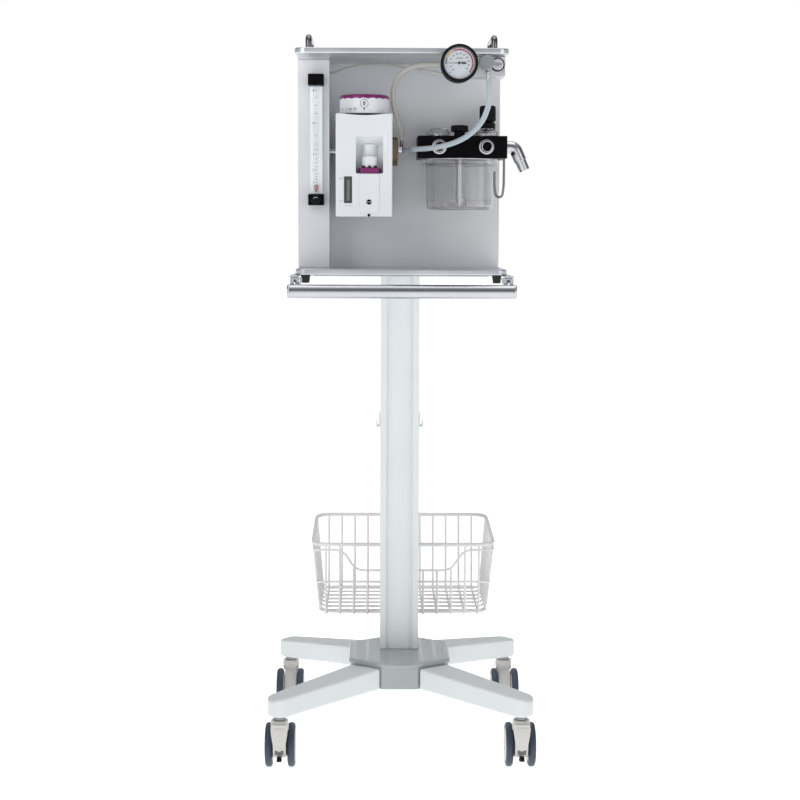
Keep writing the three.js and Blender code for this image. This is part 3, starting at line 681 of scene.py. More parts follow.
def modelShield(name):
    deselectAll()
    columns = 10
    bpy.ops.mesh.primitive_grid_add(x_subdivisions=columns, y_subdivisions=len(shieldRows) - 1, size=1)
    shield = bpy.context.object
    shield.name = name
    for vertex in shield.data.vertices:
        across = 2 * vertex.co.x
        height, half, depth = shieldRows[round((vertex.co.y + 0.5) * (len(shieldRows) - 1))]
        vertex.co = local(across * half, depth + 2.2 * across ** 2, height)
    modify(shield, 'SOLIDIFY', thickness=0.0025, offset=-1)
    faceOutwards(shield)
    roundEdges(shield, 0.7, 2, 50)
    return smooth(shield, 60)


def makeWheelPair(corner, place, tyre, cover, cap):
    parts = {"caster_tyre": [], "caster_plastic": [], "polished_steel": []}
    for side in (-1, 1):
        shift = place @ Matrix.Translation(local(side * caster["spacing"] / 2, caster["trail"],
                                                 caster["axle"]))
        parts["caster_tyre"].append(copyPiece(tyre, "t", shift))
        parts["caster_plastic"].append(copyPiece(cover, "c", shift))
        parts["polished_steel"].append(copyPiece(cap, "k", shift))
    shaft = turnPiece("shaft", [(4, -15), (4, 15)], local(0, caster["trail"], caster["axle"]), right, 24)
    parts["polished_steel"].append(moveMesh(shaft, place))
    tyres = joinPieces(f"caster_tyres_{corner}", parts["caster_tyre"])
    finishPiece(tyres, f"wheels_{corner}", "caster_tyre", "caster_tyre", [f"caster_wheels_{corner}"])
    covers = joinPieces(f"caster_covers_{corner}", parts["caster_plastic"])
    finishPiece(covers, f"wheels_{corner}", "caster_plastic", "caster_plastic")
    caps = joinPieces(f"caster_axle_{corner}", parts["polished_steel"])
    finishPiece(caps, f"wheels_{corner}", "polished_steel", "polished_steel")


def hubOutline(facet, near, side, corner):
    quarter = [(facet, near), (side, corner)]
    rightSide = [(x, -y) for x, y in quarter] + quarter[::-1]
    return rightSide + [(-x, y) for x, y in rightSide[::-1]]


def makeBase():
    low = hubOutline(35.2, 118.6, 101.4, 70.6)
    body = pushOutline("hub_body", low, "z", 130, 178.5, 3, 3)
    finishPiece(body, "machine", "hub_grey", "hub_grey", ["base_hub"])
    flange = pushOutline("hub_flange", hubOutline(29, 121.4, 104.6, 73), "z", 175.2, 184.4, 2.6, 3)
    finishPiece(flange, "machine", "hub_grey", "hub_grey")
    for corner in corners:
        leg = copyNode(f"leg_{corner}", f"leg_beam_{corner}", 5, 4, 40)
        finishPiece(leg, "machine", "white_paint", "white_paint", [f"leg_{corner}"])
    seat = [(-41.5, 4), (41.5, 4), (41.5, 72), (-41.5, 72)]
    plate = pushOutline("column_seat", seat, "z", 184.2, 185.6, 0.4)
    finishPiece(plate, "machine", "hub_grey", "hub_grey")


def makeColumn():
    column = copyNode("column", "column_profile", 1.6, 3, 28)
    finishPiece(column, "machine", "white_paint", "white_paint", ["column"])
    for side, name in ((-1, "left"), (1, "right")):
        low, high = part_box(f"cable_clip_{name}")
        inner = 40.8
        hook = [(inner, 656), (inner + 8.4, 656), (inner + 8.4, 670), (inner + 6.4, 671.5),
                (inner + 5.6, 660), (inner + 2.2, 660), (inner + 2.2, 686), (inner, 686)]
        outline = [(side * x, z) for x, z in hook]
        yLow = (low.y - hubY) * 1000
        yHigh = (high.y - hubY) * 1000
        clip = pushOutline(f"cable_hook_{name}", outline, "y", yLow, yHigh, 0.7)
        finishPiece(clip, "machine", "white_plastic", "white_plastic", [f"cable_clip_{name}"])


makeCasters()
makeBase()
makeColumn()
print("trolley made")


# ---- basket ----
basket = {"wire": 2.5, "rim": 4.5, "rows": 12, "pitch": 30, "firstRow": -157.1, "lines": 7, "middle": 10,
          "near": 81, "far": 375, "floorNear": 88, "floorFar": 348, "halfTop": 195, "halfRing": 189,
          "halfFloor": 181, "floor": 246, "rimNear": 395, "rimFar": 410, "corner": 26, "dip": 336,
          "second": 383, "ring": 313, "ringFar": 254}


def wallPoint(share, height):
    # share runs from the near wall, 0, to the far wall, 1, at the height of a ring or rim
    lift = (height - basket["floor"]) / (basket["rimNear"] - basket["floor"])
    near = basket["floorNear"] + lift * (basket["near"] - basket["floorNear"])
    far = basket["floorFar"] + lift * (basket["far"] - basket["floorFar"])
    return near + share * (far - near)


def ringLoop(name, half, nearZ, farZ, radius):
    near, far = wallPoint(0, nearZ), wallPoint(1, nearZ)
    middle = basket["middle"]
    loop = [at(middle - half, near, nearZ), at(middle + half, near, nearZ), at(middle + half, far, farZ),
            at(middle - half, far, farZ)]
    return makeWire(name, filletPath(loop, basket["corner"] * 1.4, True, 8), radius, True, 4)


def makeBasket():
    b = basket
    wires = [ringLoop("rim", b["halfTop"], b["rimNear"], b["rimFar"], b["rim"]),
             ringLoop("ring", b["halfRing"], b["ring"], b["ringFar"], b["wire"]),
             ringLoop("floorRing", b["halfFloor"], b["floor"], b["floor"], b["wire"])]
    nearRow = wallPoint(0, b["second"])
    dipRow = wallPoint(0, b["dip"])
    middle, half = b["middle"], b["halfTop"] - 1
    dipped = [at(middle - half, nearRow + 30, b["second"] + 2), at(middle - half, nearRow, b["second"]),
              at(middle - 130, nearRow, b["second"]), at(middle - 103, dipRow, b["dip"] + 2),
              at(middle + 103, dipRow, b["dip"] + 2), at(middle + 130, nearRow, b["second"]),
              at(middle + half, nearRow, b["second"]), at(middle + half, nearRow + 30, b["second"] + 2)]
    wires.append(makeWire("dipped", filletPath(dipped, 20, False, 6), b["wire"], False, 4))
    under = b["floor"] - 4.4
    for index in range(b["rows"]):
        x = b["firstRow"] + index * b["pitch"]
        reach = abs(x - middle)
        top = b["rimNear"] if reach > 110 else b["dip"] + (8 if reach > 95 else 0)
        route = [at(x, wallPoint(0, top), top), at(x, b["floorNear"] - 2.6, under),
                 at(x, b["floorFar"] + 2.6, under), at(x, wallPoint(1, b["rimNear"]), b["rimFar"] - 1)]
        wires.append(makeWire("row", filletPath(route, 9, False, 4), b["wire"], False, 2))
    for index in range(b["lines"]):
        share = (index + 0.5) / b["lines"]
        y = b["floorNear"] + share * (b["floorFar"] - b["floorNear"])
        topY = wallPoint(share, b["rimNear"])
        topZ = b["rimNear"] + share * (b["rimFar"] - b["rimNear"])
        route = [at(middle - b["halfTop"], topY, topZ), at(middle - b["halfFloor"] + 1, y, b["floor"]),
                 at(middle + b["halfFloor"] - 1, y, b["floor"]), at(middle + b["halfTop"], topY, topZ)]
        wires.append(makeWire("line", filletPath(route, 16, False, 5), b["wire"], False, 2))
    cage = joinPieces("basket_wires", wires)
    finishPiece(cage, "machine", "basket_enamel", "basket_enamel", ["basket"])
    plate = makeBlock("basket_plate", at(-25, 71.3, 342), at(25, 76.4, 390), 1.5)
    hooks = [makeBlock("hook", at(x - 4, 74, 326), at(x + 4, 84, 344), 1.2) for x in (-18, 18)]
    bracket = joinPieces("basket_bracket", [plate, *hooks])
    finishPiece(bracket, "machine", "basket_enamel", "basket_enamel")


makeBasket()
print("basket made")


# ---- tray, push bar and head frame ----
bar = {"y": -225, "z": 951.5, "radius": 13.8, "half": 223.5}
roof = {"top": 1428}


def makeTray():
    tray = copyNode("tray", "tray_sheet", 0.6, 2, 32)
    finishPiece(tray, "machine", "satin_aluminium", "satin_aluminium", ["tray"])
    radius, half = bar["radius"], bar["half"]
    tube = turnPiece("push_tube", [(radius, -half + 5), (radius, half - 5)], at(0, bar["y"], bar["z"]), right,
                     64)
    finishPiece(tube, "machine", "brushed_bar", "brushed_bar", ["handle_bar"])
    caps = []
    for side in (-1, 1):
        profile = [(radius - 0.2, half - 5.2), (radius, half - 4.8), (radius, half - 3),
                   (radius - 1.2, half - 0.8), (radius - 4, half)]
        caps.append(turnPiece("cap", profile, at(0, bar["y"], bar["z"]), right * side, 64, 0.3))
    ends = joinPieces("push_tube_caps", caps)
    finishPiece(ends, "machine", "bracket_steel", "bracket_steel")
    for side, name in ((-1, "left"), (1, "right")):
        bracket = copyNode(f"bar_bracket_{name}", f"bar_clamp_{name}", 0.5, 2, 32)
        finishPiece(bracket, "machine", "bracket_steel", "bracket_steel", [f"bar_bracket_{name}"])
        dome = [(2, 963.2), (4, 963.8), (5.8, 965.2), (6.3, 967.2), (6.3, 968.6), (7.6, 968.8), (7.6, 974.4)]
        nut = turnPiece(f"bar_nut_{name}", dome, at(side * 203.5, -190, 0), up, 36, 0.2)
        finishPiece(nut, "machine", "chrome", "chrome")


def makeFrame():
    for node, name in (("base_plate", "lower_plate"), ("roof_plate", "upper_plate")):
        plate = copyNode(node, name, 2.4, 4, 40)
        finishPiece(plate, "machine", "satin_aluminium", "satin_aluminium", [node])
    for node, name in (("back_panel", "rear_panel"), ("flowmeter_post", "meter_post")):
        sheet = copyNode(node, name, 0.5, 2, 32)
        finishPiece(sheet, "machine", "panel_steel", "panel_steel", [node])
    for side, name in ((-1, "left"), (1, "right")):
        makeCarryHandle(name, side * 186.5)
        cone = [(7.2, 964.5), (7.8, 965.2), (9.4, 978), (10, 979), (10, 980.6)]
        foot = turnPiece(f"foot_pad_{name}", cone, at(side * 191.5, -118, 0), up, 40, 0.4)
        finishPiece(foot, "machine", "foot_rubber", "foot_rubber", [f"foot_{name}"])
    makeFrameScrews()


carryHandle = {"half": 62, "top": 1454.8, "radius": 6.4, "bend": 15}


def makeCarryHandle(name, x):
    foot = roof["top"] + 0.3
    half, top = carryHandle["half"], carryHandle["top"]
    path = [at(x, -half, foot), at(x, -half, top), at(x, half, top), at(x, half, foot)]
    loop = makeWire("loop", filletPath(path, carryHandle["bend"], False, 10), carryHandle["radius"], False, 6)
    rosettes = []
    for y in (-half, half):
        profile = [(9, foot), (9, foot + 2.2), (7.8, foot + 3.6)]
        rosettes.append(turnPiece("rosette", profile, at(x, y, 0), up, 40, 0.5))
    handle = joinPieces(f"lift_handle_{name}", [loop, *rosettes])
    finishPiece(handle, "machine", "dark_chrome", "chrome", [f"carry_handle_{name}"])


def makeScrew(place, along, radius=3.6, height=1.4):
    # a button head with a hexagon socket
    profile = [(radius, 0), (radius, height * 0.45), (radius * 0.8, height * 0.85), (radius * 0.5, height)]
    head = turnPiece("screw", profile, place, along, 28, 0.15)
    socket = turnPiece("socket", [(radius * 0.34, height * 0.3), (radius * 0.34, height * 2)], place, along,
                       6)
    return smooth(cutAway(head, socket))


def makeFrameScrews():
    heads = []
    for x in (-195, -98, 0, 98, 195):
        for z in (1004, 1404):
            heads.append(makeScrew(at(x, 114, z), back))
    for x in (-200, 200):
        for z in (1110, 1204, 1298):
            heads.append(makeScrew(at(x, 114, z), back))
    screws = joinPieces("panel_screws", heads)
    finishPiece(screws, "machine", "polished_steel", "polished_steel")
    inlet = [(9.2, 116), (9.2, 129), (6.2, 129.5), (6.2, 131), (6.8, 131.6), (6.8, 133), (6.2, 133.6),
             (6.2, 136), (6.8, 136.6), (6.8, 138), (6.2, 138.6), (6.2, 141), (5, 143.8)]
    fitting = turnPiece("oxygen_inlet", inlet, at(-178, 0, 1040), back, 48, 0.3)
    finishPiece(fitting, "machine", "chrome", "chrome")


makeTray()
makeFrame()
print("head frame made")


# ---- flowmeter ----
meter = {"x": -173.7, "low": 1142.9, "high": 1362.4, "boreY": -7, "faceY": -19.5}


def makeFlowmeter():
    for node, name in (("flowmeter_bottom_block", "meter_foot"), ("flowmeter_top_block", "meter_head")):
        block = copyNode(node, name, 0.9, 3)
        finishPiece(block, "machine", "black_anodised", "black_anodised", [node])
    x = meter["x"]
    y = meter["boreY"]
    sleeve = makeBlock("meter_sleeve", at(x - 13.6, meter["faceY"], meter["low"]),
                       at(x + 13.6, y + 15, meter["high"]), 2.4, 4)
    bore = turnPiece("bore", [(6.6, meter["low"] - 5), (6.6, meter["high"] + 5)], at(x, y, 0), up, 48)
    cutAway(sleeve, bore)
    finishPiece(smooth(sleeve), "machine", "sleeve_clear", "clear_plastic", ["flowmeter_tube"])
    # this strip's finish glows: painted light brightening the scale
    strip = makeBlock("meter_strip", at(x - 12.4, y + 7.2, meter["low"] + 1.2),
                      at(x + 12.4, y + 9.2, meter["high"] - 1.2), 0.2)
    finishPiece(strip, "machine", "glowing_scale_white", "white_plastic")
    makeMeterScale()
    bobProfile = [(1.2, 1146.8), (2.5, 1148.8), (4.6, 1155.5), (4.8, 1156.5), (4.8, 1161.4), (4, 1162)]
    bob = turnPiece("float_bob", bobProfile, at(x, meter["boreY"], 0), up, 32, 0.2)
    finishPiece(bob, "float", "red_plastic", "red_plastic", ["flow_float"])
    makeFlowKnob()


def makeMeterScale():
    marks = []
    face = meter["faceY"]
    x = meter["x"]
    heights = [1166, 1172, 1178, 1184, 1191, 1198, 1206, 1214, 1223, 1233, 1244, 1262, 1286, 1306, 1322, 1338,
               1352]
    for index, z in enumerate(heights):
        width = 3.4 if index % 2 else 2.2
        marks.append(makeBlock("mark", at(x - 1.2, face - 0.12, z - 0.4), at(x + width, face - 0.02, z + 0.4),
                               0))
        if index % 4 == 0:
            words = str(index + 1) if index < 9 else str((index - 7) * 5)
            marks.append(makeText("figure", words, 4.6, at(x - 4.8, face - 0.08, z), weight=0.1))
    scale = joinPieces("meter_scale", marks)
    finishPiece(scale, "machine", "ink")


def makeFlowKnob():
    place = at(meter["x"], -25.3, 1131)
    skirt = [(9.6, 0), (10.4, 0.8), (10.4, 3), (9.8, 3.6), (9.8, 15.4), (8.6, 16.6), (6.6, 16.6), (6.2, 15.8)]
    knob = turnPiece("flow_grip", skirt, place, front, 96)
    ripple(knob, place, front, 24, 0.5, 9.7)
    finishPiece(knob, "oxygen_knob", "black_plastic", "black_plastic", ["flow_knob"])
    inner, outer = 4.4, 5.2
    angles = [math.radians(40 + 10 * step) for step in range(13)]
    outline = [(outer * math.cos(a), outer * math.sin(a)) for a in angles]
    outline += [(inner * math.cos(a), inner * math.sin(a)) for a in reversed(angles)]
    outline = [(meter["x"] + a, 1131 + b) for a, b in outline]
    arrow = pushOutline("flow_arrow", outline, "y", -41.4, -41.2)
    finishPiece(arrow, "oxygen_knob", "white_plastic", "white_plastic")


makeFlowmeter()
print("flowmeter made")


# ---- vaporizer ----
vapour = {"left": -132, "right": -18, "front": -85, "back": 62.5, "bottom": 1096.6, "top": 1303.5,
          "dialX": -74.7, "dialY": -28, "dialFace": 50.35, "dip": 280}


def makeVaporizerBody():
    v = vapour
    body = makeBlock("vaporizer_case", at(v["left"], v["front"], v["bottom"]),
                     at(v["right"], v["back"], v["top"]), 3.2, 4)
    well = [(v["front"] - 3, 1183), (v["front"] - 3, 1258), (v["front"] + 1, 1257), (-55, 1240), (-51, 1236),
            (-51, 1183)]
    scoop = pushOutline("scoop", well, "x", -91.6, -36.6, 4, 4)
    dip = turnPiece("dip", [(v["dip"], -5), (v["dip"], 26)], at(v["dialX"], v["front"],
                                                                v["top"] + v["dip"] - 4.6), back, 256)
    ringSeat = turnPiece("seat", [(56.5, 1299.6), (56.5, 1310)], at(v["dialX"], v["dialY"], 0), up, 96)
    window = makeBlock("window", at(-115.4, v["front"] - 3, 1123.6), at(-98.8, v["front"] + 6, 1177.4), 0)
    drain = turnPiece("drain", [(5.6, -8), (5.6, 3)], at(-65, v["front"] - 3, 1126), back, 32)
    cutAway(body, scoop, dip, ringSeat, window, drain)
    smooth(body)
    finishPiece(body, "machine", "vaporizer_paint", "vaporizer_paint", ["vaporizer_body"])
    boss = turnPiece("boss", [(28, -0.4), (28, 0.3), (27.2, 0.7)], at(-54.5, v["front"], 1208), front, 96,
                     0.2)
    cutAway(boss, makeBlock("gap", at(-100, v["front"] - 4, 1170), at(-36.6, v["front"] + 4, 1260), 0))
    pad = makeBlock("pad", at(-84.5, v["front"] - 2.8, 1104.6), at(-44, v["front"] + 3, 1183), 2.2, 4)
    hollow = turnPiece("hollow", [(5.4, -4), (5.4, 6)], at(-65, v["front"] - 3, 1126), back, 40)
    cutAway(pad, hollow)
    step = makeBlock("step", at(-80, v["front"] - 1.2, 1097.6), at(-50, v["front"] + 3, 1101.6), 1)
    relief = joinPieces("vaporizer_relief", [boss, smooth(pad), step])
    finishPiece(relief, "machine", "vaporizer_paint", "vaporizer_paint")
    spout = turnPiece("well_post", [(15.6, 1192), (15.6, 1240), (13.6, 1243)], at(-64, -50, 0), up, 56, 0.8)
    finishPiece(spout, "machine", "vaporizer_paint", "vaporizer_paint")


def makeVaporizerFront():
    v = vapour
    # a black sheet at the back of the level window: painted shade for the dim inside seen through the glass
    shadeBacking = makeBlock("sight_shade_back", at(-115.2, v["front"] + 4.4, 1123.8), at(-99, v["front"] + 5.8, 1177.2),
                        0.2)
    finishPiece(shadeBacking, "machine", "gauge_case", "gauge_case")
    column = turnPiece("sight_tube", [(2.6, 1128), (2.6, 1170)], at(-106.6, v["front"] + 3.4, 0), up, 24, 0.4)
    finishPiece(column, "machine", "caster_core", "polished_steel")
    pane = makeBlock("sight_glass", at(-115.2, v["front"] + 0.8, 1123.8), at(-99, v["front"] + 1.6, 1177.2),
                     0.3)
    finishPiece(pane, "machine", "gauge_glass", "clear_plastic")
    screw = turnPiece("drain_screw", [(5.2, 0), (5.2, 2.2), (4.6, 2.8)], at(-65, v["front"] + 0.2, 1126),
                      front, 40, 0.3)
    slotCut = makeBlock("slot", at(-68.6, v["front"] - 4.4, 1125.2), at(-61.4, v["front"] - 1.6, 1126.8), 0)
    cutAway(screw, slotCut)
    finishPiece(smooth(screw), "machine", "black_plastic", "black_plastic")
    pins = []
    for x in (-67.3, -62.7):
        pins.append(turnPiece("pin", [(1.15, 0), (1.15, 0.6), (0.8, 0.9)], at(x, v["front"] - 2.2, 1126),
                              front, 20))
    finishPiece(joinPieces("drain_pins", pins), "machine", "white_plastic", "white_plastic")
    tag = turnPiece("lower_screw", [(3, 0), (3, 0.6)], at(-65, v["front"] - 1.2, 1099.6), front, 24, 0.2)
    finishPiece(tag, "machine", "black_plastic", "black_plastic")
    marks = [makeText("max", "max", 4.2, at(-122.4, v["front"] - 0.1, 1173)),
             makeText("min", "min", 4.2, at(-122.4, v["front"] - 0.1, 1128)),
             makeBlock("maxLine", at(-118, v["front"] - 0.1, 1172.6), at(-115.6, v["front"] + 0.1, 1173.2),
                       0), makeBlock("minLine", at(-118, v["front"] - 0.1, 1127.6),
                                     at(-115.6, v["front"] + 0.1, 1128.2), 0),
             makeBlock("underLine", at(-115, v["front"] - 0.1, 1118.4), at(-98, v["front"] + 0.1, 1118.9), 0)]
    finishPiece(joinPieces("level_marks", marks), "machine", "greyInk")


def makeFiller():
    side = [(23.4, -60), (22.4, -66), (18.6, -83.4), (15, -86.4)]
    outline = [(-64 + x, y) for x, y in side] + [(-64 - x, y) for x, y in reversed(side)]
    outline += [(-64 - 23.4, -52), (-64 + 23.4, -52)]
    collar = pushOutline("filler_collar", outline, "z", 1184, 1194.6, 1.2)
    finishPiece(collar, "machine", "purple_plastic", "dial_plastic")
    # three black blocks at the foot of the cap stand for the filler's notches: painted shade in place of the
    # dark inside the notches
    notchShades = []
    for angle in (-48, 0, 48):
        turn = Matrix.Rotation(math.radians(angle), 4, 'Z')
        key = makeBlock("key", local(-2.4, -18.2, 1193.4), local(2.4, -14.2, 1198.6), 0.5)
        notchShades.append(moveMesh(key, Matrix.Translation(at(-64, -68, 0)) @ turn))
    finishPiece(joinPieces("filler_notch_shades", notchShades), "machine", "black_plastic", "black_plastic")
    place = at(-64, -69, 0)
    profile = [(13.4, 1195.4), (14.2, 1196.4), (14.2, 1199), (15.1, 1199.6), (15.1, 1214.8), (14.2, 1216.6),
               (12.4, 1217.4), (11.6, 1216.6)]
    cap = turnPiece("filler_screw_cap", profile, place, up, 144)
    ripple(cap, place, up, 36, 0.35, 15.0)
    finishPiece(smooth(cap), "cap", "dial_plastic", "dial_plastic", ["filler_cap"])


def wrapOnDial(piece, radius):
    # a flat label is bent around the dial, keeping its height off the face
    centre = at(vapour["dialX"], vapour["dialY"], 0)
    for vertex in piece.data.vertices:
        across = vertex.co.x - centre.x
        lift = (centre.y - radius / 1000) - vertex.co.y
        turn = across / (radius / 1000)
        reach = radius / 1000 + lift
        vertex.co.x = centre.x + reach * math.sin(turn)
        vertex.co.y = centre.y - reach * math.cos(turn)
    return piece


def makeDial():
    v = vapour
    place = at(v["dialX"], v["dialY"], 0)
    drum = turnPiece("dial_drum", [(50, 1303.9), (50.4, 1304.6), (50.3, 1330), (49.8, 1334.6), (46, 1338)],
                     place, up, 144, 0.25)
    finishPiece(drum, "dial", "dial_plastic", "dial_plastic", ["vaporizer_dial"])
    ring = turnPiece("dial_ring", [(50.2, 1333.6), (50.5, 1334.4), (50.3, 1337.6), (48.8, 1340.2),
                                   (46, 1341.5), (40, 1341.6), (38.6, 1340.4), (20, 1340.2)], place, up, 216)
    for vertex in ring.data.vertices:
        # the lower edge hangs in scallops with white between them
        if vertex.co.z < 1.3352:
            turn = math.atan2(vertex.co.y - place.y, vertex.co.x - place.x)
            vertex.co.z -= 0.0019 * max(0.0, math.cos(18 * turn)) ** 0.5 - 0.0008
    finishPiece(smooth(ring, 30), "dial", "purple_plastic", "dial_plastic")
    faceY = v["dialY"] - v["dialFace"]
    x = v["dialX"]
    mark = [makeText("zero", "0", 10.5, at(x, faceY - 0.12, 1322.6), weight=0.35)]
    hoop = turnPiece("hoop", [(8.4, 0), (8.4, 0.12), (7.6, 0.12), (7.6, 0)], at(x, faceY, 1322.6), front, 48,
                     hollow=True)
    mark.append(hoop)
    mark.append(pushOutline("arrow", [(x - 2.3, 1312.8), (x, 1308.6), (x + 2.3, 1312.8)], "y", faceY - 0.16,
                            faceY))
    figures = [("0.2", -19), ("0.6", -30), ("1", -40), ("2", -52), ("3", -65), ("4", -79), ("5", -94)]
    for words, shift in figures:
        mark.append(makeText("figure", words, 6.2, at(x + shift, faceY - 0.1, 1312), weight=0.12))
        mark.append(makeBlock("tick", at(x + shift - 0.35, faceY - 0.15, 1304.8),
                              at(x + shift + 0.35, faceY + 0.05, 1308), 0))
    marks = wrapOnDial(joinPieces("dial_marks", mark), v["dialFace"])
    finishPiece(marks, "dial", "ink")


def makeVaporizerFittings():
    rod = [(7, 0), (7, 3), (5.4, 3.4), (5.4, 6), (7, 6.4), (7, 16.4)]
    inlet = turnPiece("inlet_rod", rod, at(-146.6, 20, 1231), right, 48, 0.3)
    finishPiece(inlet, "machine", "chrome", "chrome")
    mount = copyNode("vaporizer_mount", "mount_block", 0.8, 3)
    finishPiece(mount, "machine", "bronze_paint", "bronze_paint", ["vaporizer_mount"])
    nut = turnPiece("tee_nut", [(7.6, 0), (7.6, 8)], at(-5.2, 15, 1234), right, 6, 0.7)
    elbowRing = turnPiece("tee_ring", [(6.6, 8), (6.6, 13)], at(-5.2, 15, 1234), right, 40, 0.4)
    barbs = []
    for start, along, length in ((at(1.8, 15, 1234), up, 22), (at(1.8, 15, 1234), Vector((1, -1, 0)), 19)):
        profile = [(4.2, 3), (4.2, 6)]
        for step in range(4):
            foot = 6.2 + step * (length - 7) / 4
            profile += [(3.6, foot), (3.6, foot + 0.4), (3.1, foot + (length - 7) / 4 - 0.3)]
        barbs.append(turnPiece("barb", profile, start, along, 32))
    tee = joinPieces("tee_fitting", [nut, elbowRing, *barbs])
    finishPiece(tee, "machine", "chrome", "chrome", ["outlet_tee"])


makeVaporizerBody()
makeVaporizerFront()
makeFiller()
makeDial()
makeVaporizerFittings()
print("vaporizer made")


# ---- absorber ----
absorber = {"left": 34, "right": 217, "front": -32, "back": 88, "bottom": 1216, "top": 1261.5,
            "canisterX": 122, "canisterY": 28, "valveY": 5, "portZ": 1239}


def makeAbsorberBlock():
    a = absorber
    body = makeBlock("absorber_body", at(a["left"], a["front"], a["bottom"]),
                     at(a["right"], a["back"], a["top"]), 1.2, 3)
    holes = [turnPiece("hole", [(5.4, 1200), (5.4, 1280)], at(a["canisterX"], a["canisterY"], 0), up, 40)]
    for x in (78, 174):
        holes.append(turnPiece("hole", [(9.2, 0), (9.2, 14)], at(x, a["front"] - 3, a["portZ"]), back, 48))
    cutAway(body, *holes)
    finishPiece(smooth(body), "machine", "black_anodised", "black_anodised", ["absorber_block"])
    arm = makeBlock("absorber_arm", at(80, 86, 1222), at(160, 110.6, 1255.5), 1.2)
    finishPiece(arm, "machine", "black_anodised", "black_anodised")
    for name, x in (("left", 78), ("right", 174)):
        place = at(x, a["front"] + 1, a["portZ"])
        profile = [(15.6, 0), (15.8, 5.8), (15, 7.8), (12.6, 8), (12.4, 10), (12.2, 24), (11.2, 30.6),
                   (10.6, 31), (9.5, 30.6), (9.3, 12), (9.3, 2), (10.4, 0)]
        port = turnPiece(f"breathing_port_{name}", profile, place, front, 72, 0.25, hollow=True)
        finishPiece(port, "machine", "polished_steel", "polished_steel")
        # a black disc closing the port's bore: painted shade for the dark depth inside the port
        portShadeDisc = turnPiece(f"port_shade_disc_{name}", [(9.2, 0), (9.2, 1)], at(x, a["front"] - 4, a["portZ"]), back,
                         40)
        finishPiece(portShadeDisc, "machine", "black_plastic", "black_plastic")


def makeValveDomes():
    a = absorber
    foot = a["top"] + 0.3
    for name, x in (("left", 78), ("right", 174)):
        place = at(x, a["valveY"], 0)
        crown = [(24.4, foot), (25, foot + 0.6), (25, foot + 8.6), (24, foot + 9.4), (21.4, foot + 9.4),
                 (20.8, foot + 9), (20.8, foot + 1.6), (19.6, foot + 1)]
        rim = turnPiece(f"valve_crown_{name}", crown, place, up, 180, hollow=True)
        ripple(rim, place, up, 30, 1.1, 23.9, 2)
        finishPiece(smooth(rim), "machine", "clear_plastic", "clear_plastic")
        dome = [(20.4, foot + 2), (20.4, foot + 10), (20, foot + 12.6), (18.4, foot + 15), (15, foot + 16.2),
                (8, foot + 16.7), (1, foot + 16.8), (1, foot + 15.6), (8, foot + 15.5), (14.6, foot + 15),
                (17.4, foot + 13.9), (18.8, foot + 12), (19.1, foot + 10), (19.1, foot + 2)]
        glass = turnPiece(f"valve_dome_glass_{name}", dome, place, up, 64, hollow=True)
        finishPiece(smooth(glass), "machine", "clear_plastic", "clear_plastic", [f"valve_dome_{name}"])
        seat = turnPiece(f"valve_seat_{name}", [(19, foot), (19, foot + 1.6), (12, foot + 1.8),
                                                (12, foot + 4.4), (9, foot + 4.6)], place, up, 56, 0.3)
        finishPiece(seat, "machine", "polished_steel", "polished_steel")
        disc = turnPiece(f"valve_disc_{name}", [(13.4, foot + 5), (13.4, foot + 6.2)], place, up, 56, 0.3)
        finishPiece(disc, "machine", "white_plastic", "white_plastic")


def makeCanister():
    a = absorber
    lid = a["bottom"] - 0.3
    place = at(a["canisterX"], a["canisterY"], 0)
    jar = [(6, 1113.4), (52, 1113.4), (54, 1111.8), (60, 1111.6), (65.4, 1113.2), (68.2, 1117), (69, 1121),
           (70.5, lid - 12.6), (71.4, lid - 11.8), (79, lid - 11.4), (80, lid - 10.4), (80, lid - 1),
           (79, lid), (68, lid), (66.6, lid - 1), (65.2, 1121), (63.8, 1118), (60, 1116.4), (6, 1116.4)]
    shell = turnPiece("canister_jar", jar, place, up, 96, hollow=True)
    finishPiece(smooth(shell, 50), "machine", "clear_plastic", "clear_plastic", ["canister"])
    tube = [(10, 1117), (10, lid - 2), (7.4, lid - 2), (7.4, 1117)]
    pipe = turnPiece("canister_pipe", tube, place, up, 48, hollow=True)
    finishPiece(pipe, "machine", "clear_plastic", "clear_plastic")
    ribs = []
    for angle in range(0, 360, 45):
        rib = makeBlock("rib", local(12, -1, 1116.4), local(62, 1, 1130), 0.5, 2)
        ribs.append(moveMesh(rib, Matrix.Translation(place) @ Matrix.Rotation(math.radians(angle + 10), 4,
                                                                              'Z')))
    hoop = turnPiece("hoop", [(64, 1130.6), (64, 1133), (11.4, 1133), (11.4, 1130.6)], place, up, 96,
                     hollow=True)
    ribs.append(hoop)
    finishPiece(joinPieces("canister_ribs", ribs), "machine", "clear_plastic", "clear_plastic")
    gasket = turnPiece("canister_gasket", [(67.6, lid - 1.6), (67.6, lid - 0.2), (64.6, lid - 0.2),
                                           (64.6, lid - 1.6)], place, up, 96, hollow=True)
    finishPiece(gasket, "machine", "white_plastic", "white_plastic")


def makeTightener():
    a = absorber
    foot = a["top"] + 0.3
    place = at(a["canisterX"], a["canisterY"], 0)
    cap = turnPiece("canister_grip", [(11.2, foot), (11.2, foot + 10), (16.6, foot + 10.6),
                                      (17.9, foot + 11.8), (17.9, foot + 21.6), (16.6, foot + 23.2),
                                      (14, foot + 23.8)], place, up, 144)
    ripple(cap, place, up, 18, 1.5, 16.4, 2)
    finishPiece(smooth(cap), "tightener", "black_plastic", "black_plastic", ["canister_knob"])
    rod = turnPiece("canister_rod", [(4, 1120.4), (4.9, 1121.4), (4.9, foot + 2)], place, up, 36)
    finishPiece(rod, "tightener", "polished_steel", "polished_steel")


